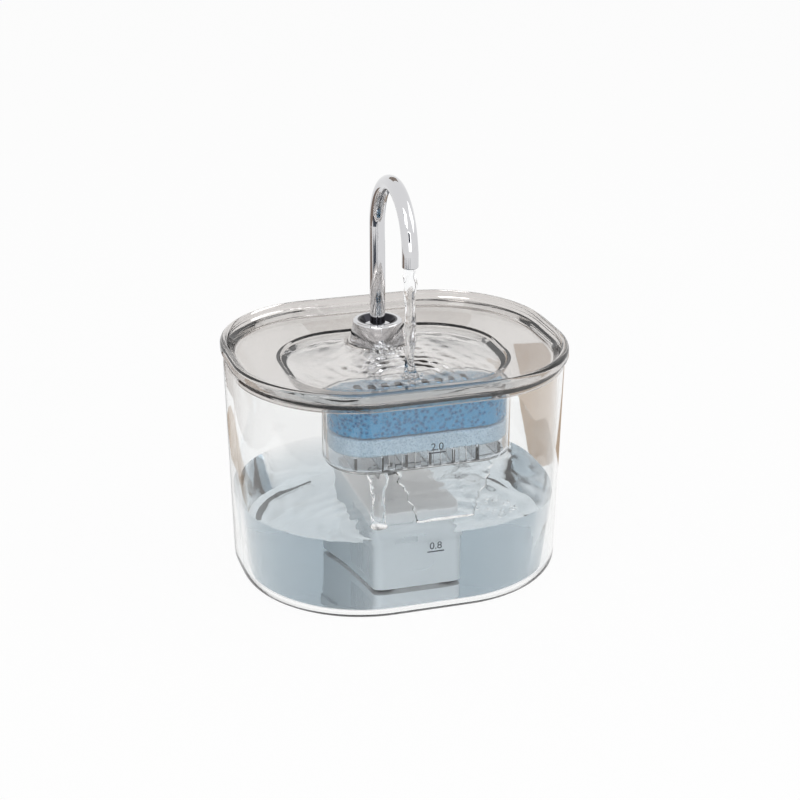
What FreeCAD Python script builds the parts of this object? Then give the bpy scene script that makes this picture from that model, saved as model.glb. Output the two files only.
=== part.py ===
import FreeCAD, Part
import math
import os

from FreeCAD import Vector, Rotation, Placement

# Pet water fountain with a gooseneck faucet. Millimetres, +Z up, the front is -Y.
# The origin is at the middle of the object's base.

# Outline seen from above: a rounded rectangle
body_width = 200.0
body_depth = 171.0
body_side_straight = 15.0
body_height = 143.0

# Tank
tank_wall = 2.5
tank_floor = 3.0
tank_draft = 0.024
tank_base_round = 8.0
tank_inner_round = 6.0
tank_rim_inset = 0.5
foot_height = 1.5
foot_width = 4.0
foot_inset = 12.0
foot_gap_length = 70.0
foot_side_gap_length = 44.0

# Tray
tray_wall = 2.2
rim_height = 6.0
rim_width = 4.5
rim_round = 2.2
skirt_depth = 6.0
skirt_gap = 0.4
tray_wall_slope = 4.5
tray_wall_depth = 8.0
ledge_fall = 2.5
pool_edge_inset = 34.0
pool_depth = 8.0
pool_wall_slope = 3.5
drain_slot_count = 9
drain_slot_pitch = 8.0
drain_slot_width = 4.0
drain_slot_length = 11.0
drain_slot_setback = 4.0
drain_slot_round = 1.9

# Faucet
riser_setback = 52.0
boss_radius = 20.0
boss_taper = 1.5
boss_height = 6.5
rose_radius = 17.0
rose_top_radius = 15.0
rose_height = 13.0
rose_edge_round = 1.2
rose_cavity_radius = 12.0
rose_cavity_height = 6.2
rose_funnel_radius = 11.0
pipe_radius = 4.7
pipe_wall = 0.8
arch_radius = 33.0
arch_above_rim = 60.0
pipe_tail_below_floor = 3.0
spout_straight = 3.0
tip_length = 4.0
tip_sleeve_length = 3.0
tip_bore_radius = 2.6
tip_chamfer = 0.5
running_gap = 0.05
flange_radius = 10.5
flange_height = 2.5
neck_radius = 7.8
neck_height = 5.8
neck_funnel_depth = 2.0
neck_gap = 0.3
shank_radius = 6.0
shank_hole_gap = 0.3
seal_thickness = 1.2
seal_edge_inset = 0.5
nut_across_flats = 18.0
nut_height = 6.0
nut_rim_radius = 11.5
nut_rim_height = 1.6
o_ring_section = 0.9
o_ring_count = 2
o_ring_pitch = 2.8
o_ring_sides = 8
tail_radius = 4.0
tail_neck_length = 2.5
barb_radius = 4.25
barb_root_radius = 3.7
barb_pitch = 2.5
barb_length = 2.0
barb_count = 3
tail_bore_radius = 2.8

# Riser tube
tube_bore_radius = 4.3
tube_wall = 1.5
tube_straight = 9.5
tube_grip = 9.0
tube_top_gap = 0.4

# Filter case
case_side_margin = 45.5
case_front_margin = 13.5
case_depth = 54.0
case_corner = 25.0
case_height = 39.5
case_below_rim = 8.5
case_wall = 1.6
case_base_round = 3.0
case_inner_chamfer = 2.0
case_gap = 0.4
collar_wall = 1.6
collar_overlap = 9.5
comb_count = 8
comb_pitch = 7.6
comb_width = 4.4
comb_bottom_gap = 1.8
comb_height = 10.0
comb_cut_depth = 2.0
rib_count = 7
rib_pitch = 14.0
rib_width = 1.6
rib_height = 8.0
floor_slot_rows = 3
floor_slot_row_pitch = 12.0
floor_slot_length = 8.0
floor_slot_width = 9.0
soft_gap = 0.3
cotton_thickness = 11.0

# Pump
pump_half_width = 26.0
pump_half_length = 44.0
pump_corner = 5.0
pump_wall = 2.0
pump_clearance_under = 2.0
pump_box_height = 29.5
lid_height = 14.0
lid_overhang = 1.0
lid_round = 1.6
lid_lip_depth = 3.0
lid_notch_x = -15.6
lid_notch_width = 14.0
lid_notch_depth = 3.0
lid_notch_height = 4.0
badge_half_width = 9.0
badge_half_height = 5.0
badge_depth = 0.5
outlet_setback = 27.0
lid_hole_radius = 6.8
axis_height = 18.0
volute_inner_radius = 12.5
volute_wall = 2.0
volute_length = 12.0
cover_thickness = 3.0
cover_plug_length = 1.0
cover_rib_count = 3
inlet_radius = 5.5
inlet_rib_width = 1.6
cover_hub_radius = 3.0
motor_half_width = 15.5
motor_height = 29.0
motor_corner = 2.5
motor_rear_gap = 2.4
motor_rib_count = 4
motor_rib_pitch = 5.0
motor_rib_width = 1.4
motor_rib_height = 0.8
motor_rib_length = 8.0
motor_flange = 2.0
well_radius = 7.9
well_end_wall = 3.4
spigot_radius = 4.0
spigot_bore_radius = 2.6
spigot_collar = 1.8
spigot_collar_height = 8.0
spigot_above_lid = 21.0
shaft_radius = 1.25
bush_radius = 2.4
bush_length = 2.0
bush_gap = 0.03
impeller_radius = 11.4
impeller_disc = 1.4
impeller_back_gap = 1.0
vane_count = 6
vane_width = 1.1
vane_height = 6.0
vane_sweep_deg = 55.0
vane_root_overlap = 0.6
vane_tip_inset = 0.2
hub_radius = 3.4
hub_tail_radius = 2.4
magnet_radius = 7.3
magnet_end_gap = 1.0
grille_slot_count = 12
grille_slot_pitch = 3.2
grille_slot_width = 1.5
grille_slot_height = 20.0
cup_radius = 6.0
cup_neck_radius = 2.6
cup_head_radius = 3.4
cup_head_height = 1.4
cup_inset_x = 6.5
cup_inset_y = 9.0
cup_hollow_height = 1.2
cup_lip_width = 1.2
cup_neck_flare = 0.8
gland_radius = 4.2
gland_flange_radius = 5.8
gland_flange = 1.6
gland_bore_radius = 2.0
gland_nose_length = 3.2
gland_nose_step = 1.2
gland_nose_wall = 1.2
gland_above_axis = 4.0

# Cutting tools reach past what they cut, and joined bodies reach into one another
cut_margin = 1.0
join_overlap = 0.5

# Flat steps in a rounded edge
round_steps = 4

# Sizes that follow from those above
half_width = body_width / 2.0
half_depth = body_depth / 2.0
body_corner = half_depth - body_side_straight / 2.0
tank_top_z = body_height - rim_height
floor_top_z = foot_height + tank_floor
pool_edge_z = body_height - tray_wall_depth - ledge_fall
pool_floor_z = pool_edge_z - pool_depth
tray_under_z = pool_floor_z - tray_wall
boss_top_z = pool_floor_z + boss_height
pump_bottom_z = floor_top_z + pump_clearance_under
pump_box_top_z = pump_bottom_z + pump_box_height
lid_top_z = pump_box_top_z + lid_height
axis_z = pump_bottom_z + axis_height
outlet_y = pump_half_length - outlet_setback
volute_front_y = outlet_y - volute_length / 2.0
volute_back_y = outlet_y + volute_length / 2.0
nut_top_z = tray_under_z - seal_thickness
nut_bottom_z = nut_top_z - nut_height
tail_length = barb_count * barb_pitch + tail_neck_length
pipe_end_z = tray_under_z - pipe_tail_below_floor
flange_bottom_z = boss_top_z + seal_thickness
neck_bottom_z = flange_bottom_z + flange_height
riser_y = half_depth - riser_setback
spout_y = riser_y - 2.0 * arch_radius
arch_centre_z = body_height + arch_above_rim
pool_floor_inset = pool_edge_inset + pool_wall_slope
case_half_width = half_width - case_side_margin
case_front_y = case_front_margin - half_depth
case_back_y = case_front_y + case_depth
case_top_z = tank_top_z - case_below_rim
case_floor_z = case_top_z - case_height
collar_bottom_z = case_top_z - collar_overlap
case_mid_y = (case_front_y + case_back_y) / 2.0
case_half_depth = case_depth / 2.0
tube_bottom_z = lid_top_z + spigot_above_lid - tube_grip


# Helpers

def box(x0, x1, y0, y1, z0, z1):
    return Part.makeBox(x1 - x0, y1 - y0, z1 - z0, Vector(x0, y0, z0))


def post(radius, z0, z1, x=0.0, y=0.0):
    return Part.makeCylinder(radius, z1 - z0, Vector(x, y, z0))


def cone(radius0, radius1, z0, z1, x=0.0, y=0.0):
    return Part.makeCone(radius0, radius1, z1 - z0, Vector(x, y, z0))


def rod(radius, y0, y1, x=0.0, z=0.0):
    """A cylinder along Y."""
    return Part.makeCylinder(radius, y1 - y0, Vector(x, y0, z), Vector(0, 1, 0))


def joined(shapes):
    first, *others = shapes
    return first.multiFuse(others).removeSplitter() if others else first


def polygon_face(points):
    return Part.Face(Part.makePolygon(points + points[:1]))


def lathe(points, x=0.0, y=0.0):
    """A solid of revolution about a vertical axis, from radius and height pairs."""
    face = polygon_face([Vector(r, 0, z) for r, z in points])
    turned = face.revolve(Vector(0, 0, 0), Vector(0, 0, 1), 360)
    turned.translate(Vector(x, y, 0))
    return turned


def moulding(outline, profile):
    """A solid whose side follows a profile all round a rounded rectangle.

    The outline is half_x, half_y, corner and centre_y. The profile is a list of inset and height
    pairs from the bottom up. Corners are turned and sides are straight, so that each face is a
    plane, a cylinder or a cone.
    """
    half_x, half_y, corner, centre_y = outline
    centre_x = half_x - corner
    reach_y = half_y - corner
    bottom = profile[0][1]
    top = profile[-1][1]
    front = [Vector(0, inset - half_y, z) for inset, z in profile]
    back = [Vector(0, half_y - inset, z) for inset, z in reversed(profile)]
    across = polygon_face(front + back)
    across.translate(Vector(-centre_x, 0, 0))
    pieces = [across.extrude(Vector(2.0 * centre_x, 0, 0))]
    edge = [Vector(half_x - inset, -reach_y, z) for inset, z in profile]
    core = [Vector(centre_x, -reach_y, top), Vector(centre_x, -reach_y, bottom)]
    side = polygon_face(edge + core).extrude(Vector(0, 2.0 * reach_y, 0))
    wedge_edge = [Vector(corner - inset, 0, z) for inset, z in profile]
    wedge_face = polygon_face(wedge_edge + [Vector(0, 0, top), Vector(0, 0, bottom)])
    wedge = wedge_face.revolve(Vector(0, 0, 0), Vector(0, 0, 1), 90)
    for quarter, (sign_x, sign_y) in enumerate(((1, 1), (-1, 1), (-1, -1), (1, -1))):
        turned = wedge.copy()
        turned.rotate(Vector(0, 0, 0), Vector(0, 0, 1), 90 * quarter)
        turned.translate(Vector(sign_x * centre_x, sign_y * reach_y, 0))
        pieces.append(turned)
    for half_turn in (0, 180):
        turned = side.copy()
        turned.rotate(Vector(0, 0, 0), Vector(0, 0, 1), half_turn)
        pieces.append(turned)
    solid = joined(pieces)
    solid.translate(Vector(0, centre_y, 0))
    return solid


def body_outline():
    return (half_width, half_depth, body_corner, 0.0)


def case_outline():
    return (case_half_width, case_half_depth, case_corner, case_mid_y)


def pump_outline():
    return (pump_half_width, pump_half_length, pump_corner, 0.0)


def rounded_edge(inset, z, radius, steps):
    """Profile of a quarter round from a flat underside up into a wall."""
    profile = []
    for step in range(steps + 1):
        turn = math.pi / 2.0 * step / steps
        profile.append((inset + radius * (1.0 - math.sin(turn)), z + radius * (1.0 - math.cos(turn))))
    return profile


def rounded_top(inset, z, radius, steps):
    """Profile of a quarter round from a wall over into a flat top at a height."""
    profile = []
    for step in range(steps + 1):
        turn = math.pi / 2.0 * step / steps
        profile.append((inset + radius * (1.0 - math.cos(turn)), z - radius * (1.0 - math.sin(turn))))
    return profile


def save(name, shape):
    """Write one piece, or one group of like pieces, to its own file."""
    solids = shape.Solids
    result = solids[0] if len(solids) == 1 else Part.makeCompound(solids)
    result.exportStep("parts/" + name + ".step")
    print(name, len(solids), "solid, volume", round(result.Volume, 1), "valid", result.isValid())


# Tank

def tank_inset(z):
    """How far the outside of the tank leans in at a height."""
    return tank_rim_inset + (tank_top_z - z) * tank_draft


def foot_ring():
    """Raised foot under the rounded corners, with a gap on each straight side."""
    inset = tank_inset(foot_height) + foot_inset
    outer = moulding(body_outline(), [(inset, 0.0), (inset, foot_height)])
    inner = moulding(body_outline(), [(inset + foot_width, 0.0), (inset + foot_width, foot_height)])
    half_gap = foot_gap_length / 2.0
    half_side = foot_side_gap_length / 2.0
    ring = outer.cut(inner).cut(box(-half_gap, half_gap, -half_depth, half_depth, 0.0, foot_height))
    return ring.cut(box(-half_width, half_width, -half_side, half_side, 0.0, foot_height))


def make_tank():
    """The bowl: a leaning wall that rounds into a flat floor, on its raised foot."""
    base_inset = tank_inset(foot_height + tank_base_round)
    outside = rounded_edge(base_inset, foot_height, tank_base_round, round_steps)
    outside.append((tank_inset(tank_top_z), tank_top_z))
    inner_inset = tank_inset(floor_top_z + tank_inner_round) + tank_wall
    inside = rounded_edge(inner_inset, floor_top_z, tank_inner_round, round_steps)
    inside.append((tank_inset(tank_top_z) + tank_wall, tank_top_z))
    shell = moulding(body_outline(), outside).cut(moulding(body_outline(), inside))
    return joined([shell] + foot_ring().Solids)


# Tray

def pool_bowl(clearance, top_z):
    """The outside of the sunken pool, grown by a clearance and carried up to a height."""
    grow = tray_wall + clearance
    return moulding(body_outline(), [(pool_floor_inset - grow, tray_under_z - clearance),
                                     (pool_edge_inset - grow, pool_edge_z - tray_wall),
                                     (pool_edge_inset - grow, top_z)])


def skirt_inset():
    """Inset of the skirt's outside, which clears the tank's wall at the skirt's lower edge."""
    return tank_inset(tank_top_z - skirt_depth) + tank_wall + skirt_gap


def skirt_ring():
    """The wall that plugs into the tank's mouth."""
    bottom = tank_top_z - skirt_depth
    inner_inset = skirt_inset() + tray_wall
    outer = moulding(body_outline(), [(skirt_inset(), bottom), (skirt_inset(), tank_top_z)])
    return outer.cut(moulding(body_outline(), [(inner_inset, bottom), (inner_inset, tank_top_z)]))


def case_collar():
    """The wall under the tray that the filter case's rim plugs into."""
    grow = case_gap + collar_wall
    outer = moulding(case_outline(), [(-grow, collar_bottom_z), (-grow, pool_edge_z)])
    return outer.cut(moulding(case_outline(), [(-case_gap, collar_bottom_z), (-case_gap, pool_edge_z)]))


def drain_slots():
    """Slots through the front of the pool, where water falls to the filter."""
    slots = []
    centre_x = half_width - body_corner
    reach = body_corner - pool_floor_inset - drain_slot_width
    half_slot = drain_slot_width / 2.0
    for number in range(drain_slot_count):
        x = (number - (drain_slot_count - 1) / 2.0) * drain_slot_pitch
        over = max(0.0, abs(x) + half_slot - centre_x)
        bow = reach - math.sqrt(max(0.0, reach * reach - over * over))
        front = pool_floor_inset - half_depth + drain_slot_setback + bow
        slot = box(x - half_slot, x + half_slot, front, front + drain_slot_length,
                   tray_under_z - cut_margin, pool_floor_z + cut_margin)
        upright = [e for e in slot.Edges if abs(e.tangentAt(e.FirstParameter).z) > 0.9]
        slots.append(slot.makeFillet(drain_slot_round, upright))
    return slots


def tray_solid():
    """The tray's outside: pool, ledge, the wall inside the tank and the rolled rim."""
    under_wall_z = body_height - tray_wall_depth - tray_wall
    return moulding(body_outline(), [
        (pool_floor_inset - tray_wall, tray_under_z),
        (pool_edge_inset - tray_wall, pool_edge_z - tray_wall),
        (skirt_inset(), under_wall_z),
        (skirt_inset(), tank_top_z),
        (0.0, tank_top_z),
    ] + rounded_top(0.0, body_height, rim_round, round_steps))


def tray_hollow():
    """The tray's inside: pool, sloping ledge and the wall up to the rim."""
    return moulding(body_outline(), [
        (pool_floor_inset, pool_floor_z),
        (pool_edge_inset, pool_edge_z),
        (rim_width + tray_wall_slope, body_height - tray_wall_depth),
        (rim_width, body_height),
    ])


def make_tray():
    solid = tray_solid()
    hollow = tray_hollow()
    boss = cone(boss_radius, boss_radius - boss_taper, pool_floor_z - tray_wall / 2.0, boss_top_z,
                0.0, riser_y)
    collar = case_collar().cut(solid)
    tray = joined([solid.cut(hollow), skirt_ring().cut(hollow), boss] + collar.Solids)
    tray = tray.cut(post(shank_radius + shank_hole_gap, tray_under_z - cut_margin,
                         boss_top_z + cut_margin, 0.0, riser_y))
    for slot in drain_slots():
        tray = tray.cut(slot)
    return tray


# Faucet

def make_faucet_base():
    """The chrome rose: a cone with a rounded top edge, a funnel in its top and a hollow below."""
    top_z = boss_top_z + rose_height
    web_z = boss_top_z + rose_cavity_height
    bore_radius = neck_radius + neck_gap
    funnel_z = neck_bottom_z + neck_height - neck_funnel_depth / 2.0
    edge = []
    for step in range(round_steps + 1):
        turn = math.pi / 2.0 * step / round_steps
        edge.append((rose_top_radius - rose_edge_round * (1.0 - math.cos(turn)),
                     top_z - rose_edge_round * (1.0 - math.sin(turn))))
    profile = [(rose_cavity_radius, boss_top_z), (rose_radius, boss_top_z)] + edge
    profile += [(rose_funnel_radius, top_z), (bore_radius, funnel_z), (bore_radius, web_z),
                (rose_cavity_radius, web_z)]
    return lathe(profile, 0.0, riser_y)


def make_base_seal():
    ring = post(flange_radius - seal_edge_inset, boss_top_z, flange_bottom_z, 0.0, riser_y)
    return ring.cut(post(shank_radius + shank_hole_gap, boss_top_z, flange_bottom_z, 0.0, riser_y))


def o_ring_heights():
    """Heights of the rings that seal the pipe in its socket, from the bottom up."""
    middle = (flange_bottom_z + neck_bottom_z + neck_height - neck_funnel_depth) / 2.0
    return [middle + (n - (o_ring_count - 1) / 2.0) * o_ring_pitch for n in range(o_ring_count)]


def groove_profile(socket_radius):
    """The socket's bore from the top down, with a square groove for each ring."""
    half_groove = o_ring_section + running_gap
    depth = 2.0 * o_ring_section + running_gap
    profile = []
    for z in reversed(o_ring_heights()):
        profile += [(socket_radius, z + half_groove), (socket_radius + depth, z + half_groove),
                    (socket_radius + depth, z - half_groove), (socket_radius, z - half_groove)]
    return profile


def barb_profile():
    """The tail's outside from its end up: barbs that hold the tube, then a plain neck."""
    tail_end_z = nut_bottom_z - tail_length
    profile = []
    for number in range(barb_count):
        z = tail_end_z + number * barb_pitch
        profile += [(barb_root_radius, z), (barb_radius, z + barb_length),
                    (barb_root_radius, z + barb_length)]
    return profile + [(tail_radius, tail_end_z + barb_count * barb_pitch), (tail_radius, nut_bottom_z)]


def make_faucet_stem():
    """The adaptor in the tray: a socket for the pipe, a flange, a shank and a barbed tail."""
    socket_radius = pipe_radius + running_gap
    top_z = neck_bottom_z + neck_height
    seat_z = pipe_end_z - running_gap
    outside = barb_profile() + [
        (shank_radius, nut_bottom_z),
        (shank_radius, flange_bottom_z),
        (flange_radius, flange_bottom_z),
        (flange_radius, neck_bottom_z),
        (neck_radius, neck_bottom_z),
        (neck_radius, top_z),
    ]
    inside = [(socket_radius, top_z - neck_funnel_depth)] + groove_profile(socket_radius) + [
        (socket_radius, seat_z),
        (tail_bore_radius, seat_z),
        (tail_bore_radius, nut_bottom_z - tail_length),
    ]
    return lathe(outside + inside, 0.0, riser_y)


def make_o_rings():
    """The two sealing rings, each turned from a many-sided section."""
    rings = []
    middle_radius = pipe_radius + running_gap + o_ring_section
    for z in o_ring_heights():
        section = []
        for corner in range(o_ring_sides):
            angle = 2.0 * math.pi * (corner + 0.5) / o_ring_sides
            section.append((middle_radius + o_ring_section * math.cos(angle),
                            z + o_ring_section * math.sin(angle)))
        rings.append(lathe(section, 0.0, riser_y))
    return Part.makeCompound(rings)


def make_faucet_nut():
    """A hexagon nut with a round bearing rim that clamps the stem from under the tray."""
    radius = nut_across_flats / math.sqrt(3.0)
    points = []
    for number in range(6):
        angle = math.radians(60.0 * number)
        points.append(Vector(radius * math.cos(angle), riser_y + radius * math.sin(angle), nut_bottom_z))
    hexagon = polygon_face(points).extrude(Vector(0, 0, nut_height))
    rim = post(nut_rim_radius, nut_top_z - nut_rim_height, nut_top_z, 0.0, riser_y)
    hole = post(shank_radius + running_gap, nut_bottom_z, nut_top_z, 0.0, riser_y)
    return joined([hexagon, rim]).cut(hole)


def make_nut_seal():
    ring = post(nut_rim_radius, nut_top_z, tray_under_z, 0.0, riser_y)
    return ring.cut(post(shank_radius + shank_hole_gap, nut_top_z, tray_under_z, 0.0, riser_y))


def bend(radius, start, centre, degrees):
    """A round bar that starts at a point and turns about an axis along X."""
    heading = Vector(1, 0, 0).cross(start - centre)
    disc = Part.Face(Part.Wire([Part.makeCircle(radius, start, heading)]))
    return disc.revolve(centre, Vector(1, 0, 0), degrees)


def gooseneck(radius):
    """A bar up the riser, over half a circle and down the short spout."""
    start = Vector(0, riser_y, arch_centre_z)
    centre = Vector(0, riser_y - arch_radius, arch_centre_z)
    return joined([post(radius, pipe_end_z, arch_centre_z, 0.0, riser_y),
                   bend(radius, start, centre, 180.0),
                   post(radius, arch_centre_z - spout_straight, arch_centre_z, 0.0, spout_y)])


def make_faucet_pipe():
    return gooseneck(pipe_radius).cut(gooseneck(pipe_radius - pipe_wall))


def make_spout_tip():
    """A nozzle whose sleeve plugs into the end of the pipe."""
    top_z = arch_centre_z - spout_straight
    bottom_z = top_z - tip_length
    sleeve_radius = pipe_radius - pipe_wall - running_gap
    profile = [
        (tip_bore_radius, bottom_z),
        (pipe_radius - tip_chamfer, bottom_z),
        (pipe_radius, bottom_z + tip_chamfer),
        (pipe_radius, top_z),
        (sleeve_radius, top_z),
        (sleeve_radius, top_z + tip_sleeve_length),
        (tip_bore_radius, top_z + tip_sleeve_length),
    ]
    return lathe(profile, 0.0, spout_y)


# Riser tube

def riser_bar(radius):
    """A bar up from the pump's spigot, across in two equal arcs and up to the faucet's tail."""
    top_z = nut_bottom_z - tube_top_gap
    low_z = tube_bottom_z + tube_straight
    high_z = top_z - tail_length
    offset = riser_y - outlet_y
    rise = high_z - low_z
    turn = 2.0 * math.atan2(offset, rise)
    bend_radius = rise / (2.0 * math.sin(turn))
    middle = Vector(0, (outlet_y + riser_y) / 2.0, (low_z + high_z) / 2.0)
    low_centre = Vector(0, outlet_y + bend_radius, low_z)
    high_centre = Vector(0, riser_y - bend_radius, high_z)
    return joined([post(radius, tube_bottom_z, low_z, 0.0, outlet_y),
                   bend(radius, Vector(0, outlet_y, low_z), low_centre, -math.degrees(turn)),
                   bend(radius, middle, high_centre, math.degrees(turn)),
                   post(radius, high_z, top_z, 0.0, riser_y)])


def make_riser_tube():
    return riser_bar(tube_bore_radius + tube_wall).cut(riser_bar(tube_bore_radius))


# Filter case

def comb_slots():
    """Upright slots low in the front wall, where filtered water runs out."""
    slots = []
    bottom = case_floor_z + comb_bottom_gap
    for number in range(comb_count):
        x = (number - (comb_count - 1) / 2.0) * comb_pitch
        slots.append(box(x - comb_width / 2.0, x + comb_width / 2.0, case_front_y - cut_margin,
                         case_front_y + comb_cut_depth, bottom, bottom + comb_height))
    return slots


def floor_slots():
    """Rows of slots through the case's floor, between the ribs."""
    slots = []
    for row in range(floor_slot_rows):
        y = case_mid_y + (row - (floor_slot_rows - 1) / 2.0) * floor_slot_row_pitch
        for number in range(rib_count - 1):
            x = (number - (rib_count - 2) / 2.0) * rib_pitch
            slots.append(box(x - floor_slot_width / 2.0, x + floor_slot_width / 2.0,
                             y - floor_slot_length / 2.0, y + floor_slot_length / 2.0,
                             case_floor_z - cut_margin, case_floor_z + case_wall + cut_margin))
    return slots


def case_ribs():
    """Ribs on the case's floor that hold the pads up, ended in the middle of its wall."""
    half_wall = case_wall / 2.0
    room = moulding(case_outline(), [(half_wall, case_floor_z), (half_wall, case_top_z)])
    ribs = []
    for number in range(rib_count):
        x = (number - (rib_count - 1) / 2.0) * rib_pitch
        rib = box(x - rib_width / 2.0, x + rib_width / 2.0, case_front_y, case_back_y,
                  case_floor_z + half_wall, case_floor_z + case_wall + rib_height)
        ribs.append(rib.common(room))
    return ribs


def make_filter_case():
    """A thin box with a rounded base, open at the top, with its rim cut to clear the pool."""
    outside = rounded_edge(0.0, case_floor_z, case_base_round, round_steps) + [(0.0, case_top_z)]
    inside = [(case_wall + case_inner_chamfer, case_floor_z + case_wall),
              (case_wall, case_floor_z + case_wall + case_inner_chamfer),
              (case_wall, case_top_z)]
    shell = moulding(case_outline(), outside).cut(moulding(case_outline(), inside))
    case = joined([shell] + case_ribs())
    for slot in comb_slots() + floor_slots():
        case = case.cut(slot)
    return case.cut(pool_bowl(case_gap, body_height))


def pad(bottom_z, top_z):
    """A filter pad that fills the case with a small gap all round."""
    inset = case_wall + soft_gap
    return moulding(case_outline(), [(inset, bottom_z), (inset, top_z)])


def make_cotton_pad():
    bottom = case_floor_z + case_wall + rib_height + soft_gap
    return pad(bottom, bottom + cotton_thickness)


def make_blue_sponge():
    bottom = case_floor_z + case_wall + rib_height + cotton_thickness + 2.0 * soft_gap
    block = pad(bottom, case_top_z - soft_gap)
    return block.cut(pool_bowl(case_gap + soft_gap, body_height))


# Pump

def suction_cup_places():
    x = pump_half_width - cup_inset_x
    y = pump_half_length - cup_inset_y
    return [(x, y), (-x, y), (-x, -y), (x, -y)]


def grille_slots():
    """Upright slots in both sides of the pump, beside the foam."""
    slots = []
    first_y = 2.0 * pump_wall - pump_half_length + grille_slot_pitch
    bottom = pump_bottom_z + (pump_box_height - grille_slot_height) / 2.0
    for number in range(grille_slot_count):
        y = first_y + number * grille_slot_pitch
        for side in (-1, 1):
            middle = side * (pump_half_width - pump_wall / 2.0)
            slots.append(box(middle - pump_wall, middle + pump_wall, y, y + grille_slot_width,
                             bottom, bottom + grille_slot_height))
    return slots


def badge_dimple():
    """A bare oval recess in the front face."""
    z = pump_bottom_z + pump_box_height / 2.0
    oval = Part.Ellipse(Vector(badge_half_width, 0, 0), Vector(0, badge_half_height, 0), Vector(0, 0, 0))
    solid = Part.Face(Part.Wire([oval.toShape()])).extrude(Vector(0, 0, 2.0 * badge_depth))
    solid.Placement = Placement(Vector(0, badge_depth - pump_half_length, z), Rotation(Vector(1, 0, 0), 90))
    return solid


def make_pump_housing():
    """The open box, with grilles in its sides, seats for the cups and a hole for the gland."""
    inner_inset = pump_wall
    outer = moulding(pump_outline(), [(0.0, pump_bottom_z), (0.0, pump_box_top_z)])
    inner = moulding(pump_outline(), [(inner_inset, pump_bottom_z + pump_wall),
                                      (inner_inset, pump_box_top_z)])
    shell = outer.cut(inner)
    for x, y in suction_cup_places():
        shell = shell.cut(post(cup_neck_radius + running_gap, pump_bottom_z - cut_margin,
                               pump_bottom_z + pump_wall + cut_margin, x, y))
    for slot in grille_slots():
        shell = shell.cut(slot)
    gland_hole = rod(gland_radius + running_gap, pump_half_length - pump_wall - cut_margin,
                     pump_half_length + cut_margin, 0.0, axis_z + gland_above_axis)
    return shell.cut(gland_hole).cut(badge_dimple())


def lid_lip():
    """The lip that drops into the box, and the shoulder that joins it to the cap."""
    lip_bottom = pump_box_top_z - lid_lip_depth
    lip_inset = pump_wall + soft_gap
    lip = moulding(pump_outline(), [(lip_inset, lip_bottom), (lip_inset, pump_box_top_z)])
    shoulder = moulding(pump_outline(), [(pump_wall / 2.0, pump_box_top_z),
                                         (pump_wall / 2.0, pump_box_top_z + pump_wall)])
    hollow_inset = 2.0 * pump_wall
    hollow = moulding(pump_outline(), [(hollow_inset, lip_bottom), (hollow_inset, lid_top_z - pump_wall)])
    return joined([lip, shoulder]).cut(hollow)


def make_pump_lid():
    """The cap: a hollow lid with a lip, a notch to lift it by and a hole for the outlet."""
    outside = [(-lid_overhang, pump_box_top_z)]
    outside += rounded_top(-lid_overhang, lid_top_z, lid_round, round_steps)
    hollow = moulding(pump_outline(), [(pump_wall, pump_box_top_z), (pump_wall, lid_top_z - pump_wall)])
    cap = joined([moulding(pump_outline(), outside).cut(hollow), lid_lip()])
    front = -pump_half_length - lid_overhang
    notch = box(lid_notch_x, lid_notch_x + lid_notch_width, front - cut_margin,
                front + lid_notch_depth - cut_margin, pump_box_top_z - cut_margin / 2.0,
                pump_box_top_z + lid_notch_height)
    hole = post(lid_hole_radius, pump_box_top_z, lid_top_z + cut_margin, 0.0, outlet_y)
    return cap.cut(notch).cut(hole)


def make_volute_chamber():
    """The round chamber that the impeller turns in, with the outlet spigot on its top."""
    wall = rod(volute_inner_radius + volute_wall, volute_front_y, volute_back_y, 0.0, axis_z)
    spigot_bottom = axis_z + volute_inner_radius
    spigot_top = lid_top_z + spigot_above_lid
    spigot = post(spigot_radius, spigot_bottom, spigot_top, 0.0, outlet_y)
    collar = cone(spigot_radius + spigot_collar, spigot_radius, spigot_bottom,
                  spigot_bottom + spigot_collar_height, 0.0, outlet_y)
    solid = joined([wall, spigot, collar])
    room = rod(volute_inner_radius, volute_front_y - cut_margin, volute_back_y + cut_margin, 0.0, axis_z)
    return solid.cut(room).cut(post(spigot_bore_radius, axis_z, spigot_top + cut_margin, 0.0, outlet_y))


def make_volute_cover():
    """The inlet plate: a ring with ribs that carry the front bush."""
    y0 = volute_front_y - cover_thickness
    y1 = volute_front_y + cover_plug_length
    disc = rod(volute_inner_radius + volute_wall, y0, volute_front_y, 0.0, axis_z)
    plug = rod(volute_inner_radius - running_gap, volute_front_y, y1, 0.0, axis_z)
    plate = joined([disc, plug]).cut(rod(inlet_radius, y0, y1, 0.0, axis_z))
    ribs = [rod(cover_hub_radius, y0, volute_front_y, 0.0, axis_z)]
    for number in range(cover_rib_count):
        rib = box(-inlet_rib_width / 2.0, inlet_rib_width / 2.0, y0, volute_front_y,
                  0.0, inlet_radius + join_overlap)
        rib.rotate(Vector(0, 0, 0), Vector(0, 1, 0), 360.0 / cover_rib_count * number)
        rib.translate(Vector(0, 0, axis_z))
        ribs.append(rib)
    seat = rod(bush_radius + bush_gap, volute_front_y - bush_length, volute_front_y, 0.0, axis_z)
    return joined([plate] + ribs).cut(seat)


def motor_back_y():
    return pump_half_length - pump_wall - motor_rear_gap


def well_bottom_y():
    return motor_back_y() - well_end_wall


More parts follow.
